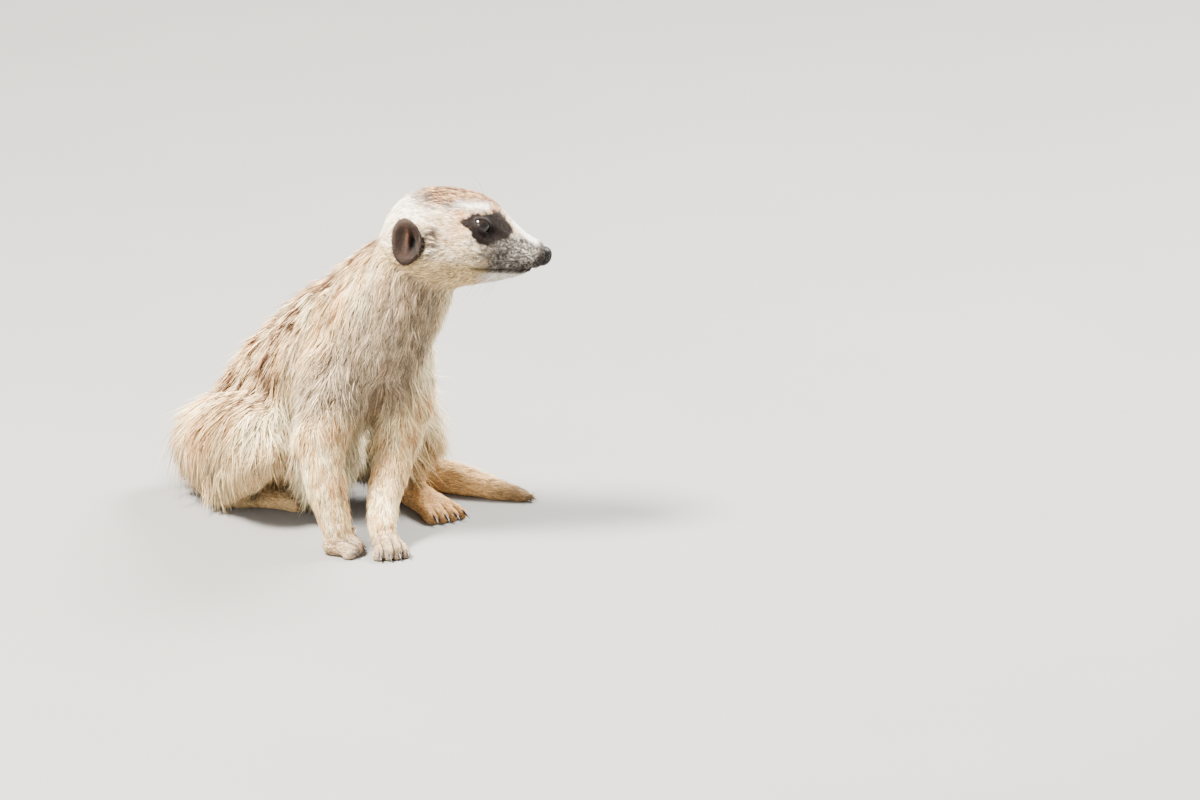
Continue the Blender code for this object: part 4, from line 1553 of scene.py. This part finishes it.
@dataclass
class Eye(Paired):
    """One eyeball with a raised cornea, and the dark rim of its lids."""
    rings: int = 40
    segments: int = 48
    cornea: float = 0.45
    rim: float = 0.24
    lid_segments: tuple[int, int] = (96, 10)
    band: tuple[float, float] = (4.5, 6.0)      # middle and half breadth of a lid, in degrees off the opening

    def placed(self, angle: Array, around: Array, radius: Array) -> Array:
        """Body places at an angle off the gaze, an angle round it and a distance from the eye's middle.

        Args:
            angle: radians off the gaze.
            around: radians round it.
            radius: distances in millimetres.

        Returns:
            Places in the body's frame.
        """
        local = np.stack([np.cos(angle), np.sin(angle) * np.cos(around), np.sin(angle) * np.sin(around)], axis=-1)
        frames = self.skin.frames
        turned = local * radius[..., None] @ frames.eye_basis(self.sign)
        return frames.from_head(turned + mirrored(frames.eye, self.sign))

    def ball(self, material: Material) -> None:
        """The eyeball, painted with pupil, iris and dark rim.

        At an angle off the gaze its radius is the eye's radius + cornea (bell(angle, 0, 38 degrees) - 0.35).

        Args:
            material: the piece's finish.
        """
        off_gaze = np.radians(np.linspace(1.5, 178.0, self.rings))
        angle, around = np.meshgrid(off_gaze, circle(self.segments), indexing="ij")
        radius = self.skin.eye_radius + self.cornea * (bell(np.degrees(angle), 0.0, 38.0) - 0.35)
        points, triangles = closed_grid(self.placed(angle, around, radius))
        flat = np.degrees(np.append(angle, [0.0, math.pi]))
        turn = np.append(around, [0.0, 0.0])
        rays = 0.5 + 0.5 * np.sin(turn * 23.0) * np.sin(turn * 7.0 + 1.0)
        colour = layers(mix(linear(24, 14, 9), linear(13, 8, 6), rays * 0.7), (linear(5, 4, 4), ramp(flat, 25.0, 22.0)),
                        (linear(9, 7, 6), ramp(flat, 42.0, 50.0)))
        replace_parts(make_piece("eye_ball_" + self.side, points, facing_out(points, triangles), material,
                               colour), "eye_" + self.side)

    def lids(self, material: Material) -> None:
        """The lids' bare margin: a flattened tube round the almond of the opening.

        Args:
            material: the piece's finish.
        """
        around, ring = np.meshgrid(*map(circle, self.lid_segments), indexing="ij")
        width = self.band[0] + self.band[1] * np.cos(ring)
        radius = self.skin.eye_radius + 0.08 + 0.035 * width + np.sin(ring) * self.rim
        surface = self.placed(np.radians(self.skin.almond(around) + width), around, radius)
        points = surface.reshape(-1, 3)
        triangles = grid_triangles(len(surface) + 1, len(ring[0])) % len(points)
        core = surface.mean(axis=1).repeat(len(ring[0]), axis=0)[triangles[:, 0]]
        make_piece("lids_" + self.side, points, facing_out(points, triangles, core), material)


@dataclass
class Ear(Paired):
    """One ear: a shallow oval cup with a rolled rim, a deep hollow in front and short dark hair."""
    half_length: float = 7.4
    half_height: float = 11.3
    turn: float = math.radians(16.0)
    lean: float = math.radians(10.0)    # top of the ear leans back
    # Profile from the hollow's floor over the rim to the back: (share of the radius, height).
    profile: tuple[tuple[float, float], ...] = (
        (0.0, -0.9), (0.22, -0.8), (0.42, -0.2), (0.58, 0.8), (0.72, 1.7), (0.86, 2.2), (0.96, 1.8),
        (1.0, 0.9), (0.97, -0.2), (0.84, -1.5), (0.60, -2.6), (0.3, -3.1), (0.0, -3.2))

    def basis(self) -> Array:
        """Rows forward, outward and up along the ear, in the head's frame.

        Returns:
            Three rows of unit vectors.
        """
        forward = mirrored((math.cos(self.turn), math.sin(self.turn), 0.0), self.sign)
        outward = mirrored((-math.sin(self.turn), math.cos(self.turn), 0.0), self.sign)
        top = np.array([0.0, 0.0, 1.0])
        return np.stack([forward * math.cos(self.lean) + top * math.sin(self.lean), outward,
                         top * math.cos(self.lean) - forward * math.sin(self.lean)])

    def shell(self) -> Pair:
        """Points in the ear's own axes and triangles: the profile swept round an oval, with a slit hollow.

        Returns:
            The points and the triangles.
        """
        t = np.linspace(0.0, 1.0, 46)
        knots = np.linspace(0.0, 1.0, len(self.profile))
        line = np.stack([np.interp(t, knots, values) for values in zip(*self.profile)])
        for _ in range(3):
            line[:, 1:-1] = (line[:, :-2] + 2 * line[:, 1:-1] + line[:, 2:]) / 4
        share, height = line[:, :, None]
        around = circle(56)[None]
        egg = 1.0 + 0.06 * np.cos(around - 2.2) + 0.03 * np.cos(3 * around)
        x = self.half_length * share * np.cos(around) * egg
        z = self.half_height * share * np.sin(around) * egg
        gap = ramp(x, 0.6, 3.0) * bell(z, 1.0, 5.6)
        canal = bell(x, 2.6, 1.5) * bell(z, -1.2, 3.4)
        fold = 0.9 * bell(x - 0.06 * z, 0.2, 0.9) * bell(z, 1.0, 5.5)
        y = height + np.where((t < 0.55)[:, None], fold - 2.2 * gap - 2.0 * canal, 0.0)
        return closed_grid(np.stack([x, y, z], axis=-1)[1:-1])

    def build(self, skin_material: Material, fur_material: Material) -> None:
        """The ear's skin and its hair, in place of the CAD node.

        Args:
            skin_material: finish of the ear's skin.
            fur_material: finish of its hair.
        """
        local, triangles = self.shell()
        x, y, z = local.T
        frames, basis = self.skin.frames, self.basis()
        points = frames.from_head(local @ basis + mirrored(frames.ear, self.sign))
        triangles = facing_out(points, triangles)
        normals = point_normals(points, triangles)
        pit = bell(x, 2.8, 1.9) * bell(z, -0.6, 4.2) * (y < 2.0)
        wall = bell(x, 0.6, 1.3) * bell(z, 2.5, 4.5) * (y > -2.0)
        # pit: the hollow's floor and canal, painted near black as painted shade in the deep hollow. wall: the ear's own
        # browner skin.
        colour = layers(mix(Tint.EAR.rgb * 0.85, Tint.BROWN, 0.55 * wall),
                        (Tint.SKIN_DARK.rgb * 0.5, np.clip(1.4 * pit, 0.0, 1.0)))
        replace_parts(make_piece("ear_skin_" + self.side, points, triangles, skin_material, colour),
                    "ear_" + self.side)
        away = (local - np.array([5.0, 0.0, -3.0])) * np.array([1.0, 0.3, 1.0])
        every = np.ones(len(points))
        surface = Surface(points=points, triangles=triangles, normals=normals,
                          table=neighbour_table(triangles, len(points)), labels=np.zeros(len(points), dtype=int),
                          lie=unit(tangent(unit(away @ basis @ frames.head_axes), normals)), length=2.2 * every,
                          width=0.24 * every, depth=0.5 * every, lock=0.15 * every, zones=np.ones((len(points), 3)),
                          share=10.0 * ramp(y, -2.6, -1.4) * (1.0 - 0.7 * pit), base=colour)
        EarHair("coat_ear_" + self.side, ("head",), 60 if self.sign > 0 else 61, slot="ear_dark",
                lock_size=2.5).grow(surface, self.skin, fur_material)


class EarHair(Coat):
    """Short hair of an ear, coloured from the ear's own skin and browner towards the tips."""

    def colours(self, surface: Surface, skin: Skin, seen: tuple[Array, ...], token: Array, edge: Array,
                rng: np.random.Generator) -> Array:
        """Colours of each tuft's five points: the ear's dark brown, browner towards the tips, with painted shade at the
        root.
        """
        base = surface.base[seen[1]] * (0.7 + 0.6 * rng.random(len(token)))[:, None]
        # The root point is darkened to 0.6: painted shade among the hairs, near the ear's skin.
        return np.stack([base * 0.6, base, base, base, mix(base * 1.25, Tint.BROWN, 0.35 * token)], axis=1)


@dataclass
class Nose:
    """The nose pad: a cushion with two comma-shaped nostrils and a groove between them."""
    frames: BodyFrames
    rings: int = 60
    segments: int = 72
    front: float = 0.86                 # length of the front half as a share of its radius
    tilt: float = 0.10                  # how far the upper edge stands ahead of the lower one
    pit_depth: float = 2.1
    slit_depth: float = 1.7
    groove_depth: float = 0.5

    def build(self, material: Material) -> None:
        """An ellipsoid about the head's x axis, sunk by bells for the nostrils and the groove.

        Args:
            material: the piece's finish.
        """
        pole = 0.03
        lat, around = np.meshgrid(np.linspace(pole, math.pi - pole, self.rings), circle(self.segments), indexing="ij")
        x, y, z = np.cos(lat), np.sin(lat) * np.cos(around), np.sin(lat) * np.sin(around)
        squared = 1.0 + 0.10 * (y ** 2 + z ** 2) * (1.0 - np.abs(y ** 2 - z ** 2))
        radii = np.array(self.frames.nose_radii)
        points, triangles = closed_grid(np.stack([x, y, z], axis=-1) * radii * squared[..., None])
        points[:, 0] *= np.where(points[:, 0] > 0.0, self.front, 1.0)
        points[:, 0] += self.tilt * points[:, 2]
        ahead, across, up = points.T
        front = ramp(ahead, 0.2, 1.6)
        pit = bell(np.abs(across), 2.9, 1.1) * bell(up, 0.1, 1.3)
        slit = bell(np.abs(across), 4.3, 1.4) * bell(up, -0.4, 0.75) * ramp(ahead, -2.5, -0.5)
        groove = bell(across, 0.0, 0.28) * ramp(up, 0.8, -0.6) * front
        inward = self.pit_depth * pit * front + self.slit_depth * slit * (1.0 - 0.5 * pit) + self.groove_depth * groove
        placed = self.frames.from_head(points - unit(points) * inward[:, None] + np.array(self.frames.nose))
        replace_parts(make_piece("nose_pad", placed, facing_out(placed, triangles), material), "nose")


@dataclass
class Claws:
    """The sixteen claws, each a curved horn that tapers from its CAD node's root to its tip."""
    rings: int = 14
    segments: int = 12
    swell: float = 1.15

    def horn(self, name: str, toward: Array) -> Pair:
        """Points and triangles of one claw.

        The centre line runs along the node's long axis with an arch of 0.45 sin(pi t); the section is an oval
        of half height r (1 - 0.93 t^1.6) and 0.72 of that in half width.

        Args:
            name: the claw's CAD node.
            toward: the way its paw points.

        Returns:
            The points and the triangles.
        """
        points, _ = node_shell(name)
        middle = points.mean(axis=0)
        axis = np.linalg.svd(points - middle, full_matrices=False)[2][0]
        axis = axis * np.sign(axis @ toward)
        along = (points - middle) @ axis
        side = unit(np.cross(axis, [0.0, 0.0, 1.0]))
        top = np.cross(side, axis)
        t = np.linspace(0.0, 1.0, self.rings)[:, None, None]
        around = circle(self.segments)[None, :, None]
        size = self.swell * np.abs((points - middle) @ top).max() * 0.75 * (1.0 - 0.93 * t ** 1.6)
        centre = middle + axis * (along.min() + np.ptp(along) * t) + top * 0.45 * np.sin(math.pi * t)
        made, triangles = closed_grid(centre + side * np.cos(around) * size * 0.72 + top * np.sin(around) * size)
        made[:, 2] = np.maximum(made[:, 2], 0.05)
        return made, facing_out(made, triangles)

    def build(self, material: Material) -> None:
        """All claws, each in place of its node.

        Args:
            material: the piece's finish.
        """
        for paw, toe in itertools.product(PAWS, TOES):
            node = CLAW.format(paw, toe)
            points, triangles = self.horn(node, np.array(LAYS[paw].toward))
            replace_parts(make_piece("horn_" + node, points, triangles, material), node)


@dataclass
class Whiskers:
    """Fine bristles of the muzzle, brow, cheek and chin."""
    skin: Skin
    thickness: float = 0.075            # radius at the root
    seed: int = 77
    stations: int = 7                   # rings along a hair
    sag: float = 0.35                   # how far the tip bends back, as a share of the length
    # Root in the head's frame (left side), length, how many, spread of the roots.
    groups: tuple[tuple[Triple, float, int, float], ...] = (
        ((35.0, 7.5, -5.5), 17.0, 9, 3.0), ((13.0, 10.5, 19.0), 20.0, 2, 1.2), ((4.0, 20.0, -9.0), 12.0, 2, 2.0),
        ((20.0, 6.0, -17.0), 13.0, 3, 3.0))

    def build(self, surface: Surface, material: Material) -> None:
        """Bristles as tapered three-sided hairs of seven rings along a curve that sags backwards as t^2.

        Args:
            surface: the skin they stand on.
            material: the piece's finish.
        """
        rng = np.random.default_rng(self.seed)
        roots, lengths = [], []
        for (place, reach, count, scatter), sign in itertools.product(self.groups, (1.0, -1.0)):
            roots.append(mirrored(place, sign) + rng.normal(0.0, scatter, (count, 3)))
            lengths.append(reach * rng.uniform(0.6, 1.1, count))
        length = np.concatenate(lengths)
        wanted = self.skin.frames.from_head(np.concatenate(roots)).astype(np.float32)
        skin = surface.points.astype(np.float32)
        near = ((skin ** 2).sum(axis=1) - 2.0 * wanted @ skin.T).argmin(axis=1)
        normal, lie = surface.normals[near], surface.lie[near]
        root = surface.points[near] - normal * 0.4
        out = unit(normal + 0.7 * lie + rng.normal(0.0, 0.16, root.shape))
        bend = unit(lie * 0.8 + np.array([0.0, 0.0, -0.3]))
        t = np.linspace(0.0, 1.0, self.stations)[None, :, None]
        centre = root[:, None] + (out[:, None] * t + bend[:, None] * self.sag * t ** 2) * length[:, None, None]
        along = unit(np.gradient(centre, axis=1))
        side = unit(np.cross(along, [0.3, 0.2, 1.0]))[:, :, None]
        lift = np.cross(along[:, :, None], side)
        around = circle(3)[None, None, :, None]
        rings = centre[:, :, None] + (side * np.cos(around) + lift * np.sin(around)) * (
            self.thickness * (1.0 - 0.85 * t[..., None]))
        hairs = [closed_grid(hair) for hair in rings]
        points = np.concatenate([hair for hair, _ in hairs])
        triangles = np.concatenate([faces + k * len(hair) for k, (hair, faces) in enumerate(hairs)])
        make_piece("whiskers", points, triangles, material)


# ---------------------------------------------------------------- the studio

@dataclass
class Studio:
    """Pale floor, soft light and a long lens. The target is in millimetres, every other length in metres."""
    target: Triple = (175.0, -40.0, 59.1)
    aim: Triple = (0.05, -0.05, 0.09)
    elevation: float = math.radians(18.0)
    distance: float = 14.0
    frame_width: float = 0.6
    sensor: float = 36.0
    floor_half: float = 6.0
    floor_tones: tuple[Triple, Triple] = ((0.155, 0.151, 0.146), (0.175, 0.171, 0.165))
    sky: tuple[float, ...] = (1.0, 0.975, 0.94, 1.0)
    sky_strength: float = 1.35
    # Name, place, size, power and colour of each light: high key ahead of the face, rim and soft fill.
    lamps: tuple[tuple[str, Triple, float, float, Triple], ...] = (
        ("key", (-0.65, -0.65, 1.7), 0.40, 400.0, (1.0, 0.945, 0.86)),
        ("rim", (0.9, 0.5, 1.2), 0.6, 150.0, (1.0, 0.97, 0.92)),
        ("fill", (-1.0, -1.7, 0.9), 1.2, 45.0, (1.0, 0.96, 0.90)))

    def floor(self) -> None:
        """A wide pale floor with a faint mottle."""
        made, shader = new_material("studio_floor", Roughness=0.85)
        mottle = add_node(made.node_tree, "ShaderNodeTexNoise", {"Vector": object_place(made.node_tree)}, Scale=6.0)
        feed(shader, {"Base Color": two_tones(made.node_tree, mottle.outputs["Fac"], *self.floor_tones)})
        mesh = bpy.data.meshes.new("studio_floor")
        corners = [(x * self.floor_half, y * self.floor_half, 0.0) for x, y in ((-1, -1), (1, -1), (1, 1), (-1, 1))]
        mesh.from_pydata(corners, [], [(0, 1, 2, 3)])
        mesh.materials.append(made)
        add_object("studio_floor", mesh)

    def lights(self) -> None:
        """Square area lights that face the animal, and the sky."""
        for name, place, size, power, colour in self.lamps:
            light = bpy.data.lights.new(name, "AREA")
            light.size, light.energy, light.color = size, power, colour
            lamp = add_object(name, light)
            lamp.location = place
            lamp.rotation_euler = (Vector(self.aim) - Vector(place)).to_track_quat("-Z", "Y").to_euler()
        world = bpy.data.worlds.new("studio_sky")
        world.use_nodes = True
        set_sockets(world.node_tree.nodes["Background"], {"Color": self.sky, "Strength": self.sky_strength})
        bpy.context.scene.world = world

    def camera(self) -> None:
        """The camera, level across, looking along +Y and down by its elevation."""
        lens = bpy.data.cameras.new("camera")
        lens.sensor_width = self.sensor
        lens.lens = self.sensor * self.distance / self.frame_width
        lens.clip_end = 50.0
        camera = add_object("camera", lens)
        back = Vector((0.0, -math.cos(self.elevation), math.sin(self.elevation))) * self.distance
        camera.location = Vector(self.target) * MM + back
        camera.rotation_euler = (math.pi / 2 - self.elevation, 0.0, 0.0)
        bpy.context.scene.camera = camera


COATS = (
    Coat("coat_face", ("head",), 11, fore=True, lock_size=2.4, unruly=0.12, stray=0.02, raised=0.3),
    Coat("coat_crown", ("head",), 12, fore=False, lock_size=3.2, raised=0.6),
    Coat("coat_neck", ("neck",), 13, lock_size=4.5),
    Coat("coat_breast", ("chest",), 14, fore=True, lock_size=5.0, hang=1.0, tip_led=0.4),
    Coat("coat_back", ("chest",), 20, fore=False, lock_size=4.5, hang=1.0, tip_led=0.6),
    Coat("coat_rump", ("rump",), 15, lock_size=6.0, hang=0.8),
    Coat("coat_thighs", ("thigh_right", "thigh_left"), 16, lock_size=6.0, hang=0.9, stray=0.10, stray_lift=2.0),
    Coat("coat_legs", ("foreleg_upper_right", "foreleg_lower_right", "foreleg_upper_left", "foreleg_lower_left",
                       "shank_right", "shank_left"), 17, lock_size=3.5, raised=0.6, lift=0.7),
    Coat("coat_paws", PAWS, 18, lock_size=2.5, unruly=0.10, raised=0.3),
    Coat("coat_tail", ("tail_base", "tail_middle", "tail_tip"), 19, slot="coat_tan", lock_size=3.5),
)


def main() -> None:
    """Build the skin, the coat, the eyes, ears, nose, claws and whiskers, then the studio."""
    logging.basicConfig(level=logging.INFO, format="%(name)s %(relativeCreated)d ms: %(message)s")
    frames = BodyFrames()
    skin = Skin(frames, Markings(frames, Toes()))
    grain = coat_grain()
    coat, bare = (finish.make(grain) for finish in COAT_FINISHES)
    eye, lid, nose, horn, bristle = (finish.make() for finish in WET_FINISHES)
    surface = skin.build()
    skin.dress(surface, bare)
    for piece in COATS:
        piece.grow(surface, skin, coat)
    for side in ("left", "right"):
        ball = Eye(skin, side)
        ball.ball(eye)
        ball.lids(lid)
        Ear(skin, side).build(bare, coat)
    Nose(frames).build(nose)
    Claws().build(horn)
    Whiskers(skin).build(surface, bristle)
    studio = Studio()
    studio.floor()
    studio.lights()
    studio.camera()


if __name__ == "__main__":
    main()
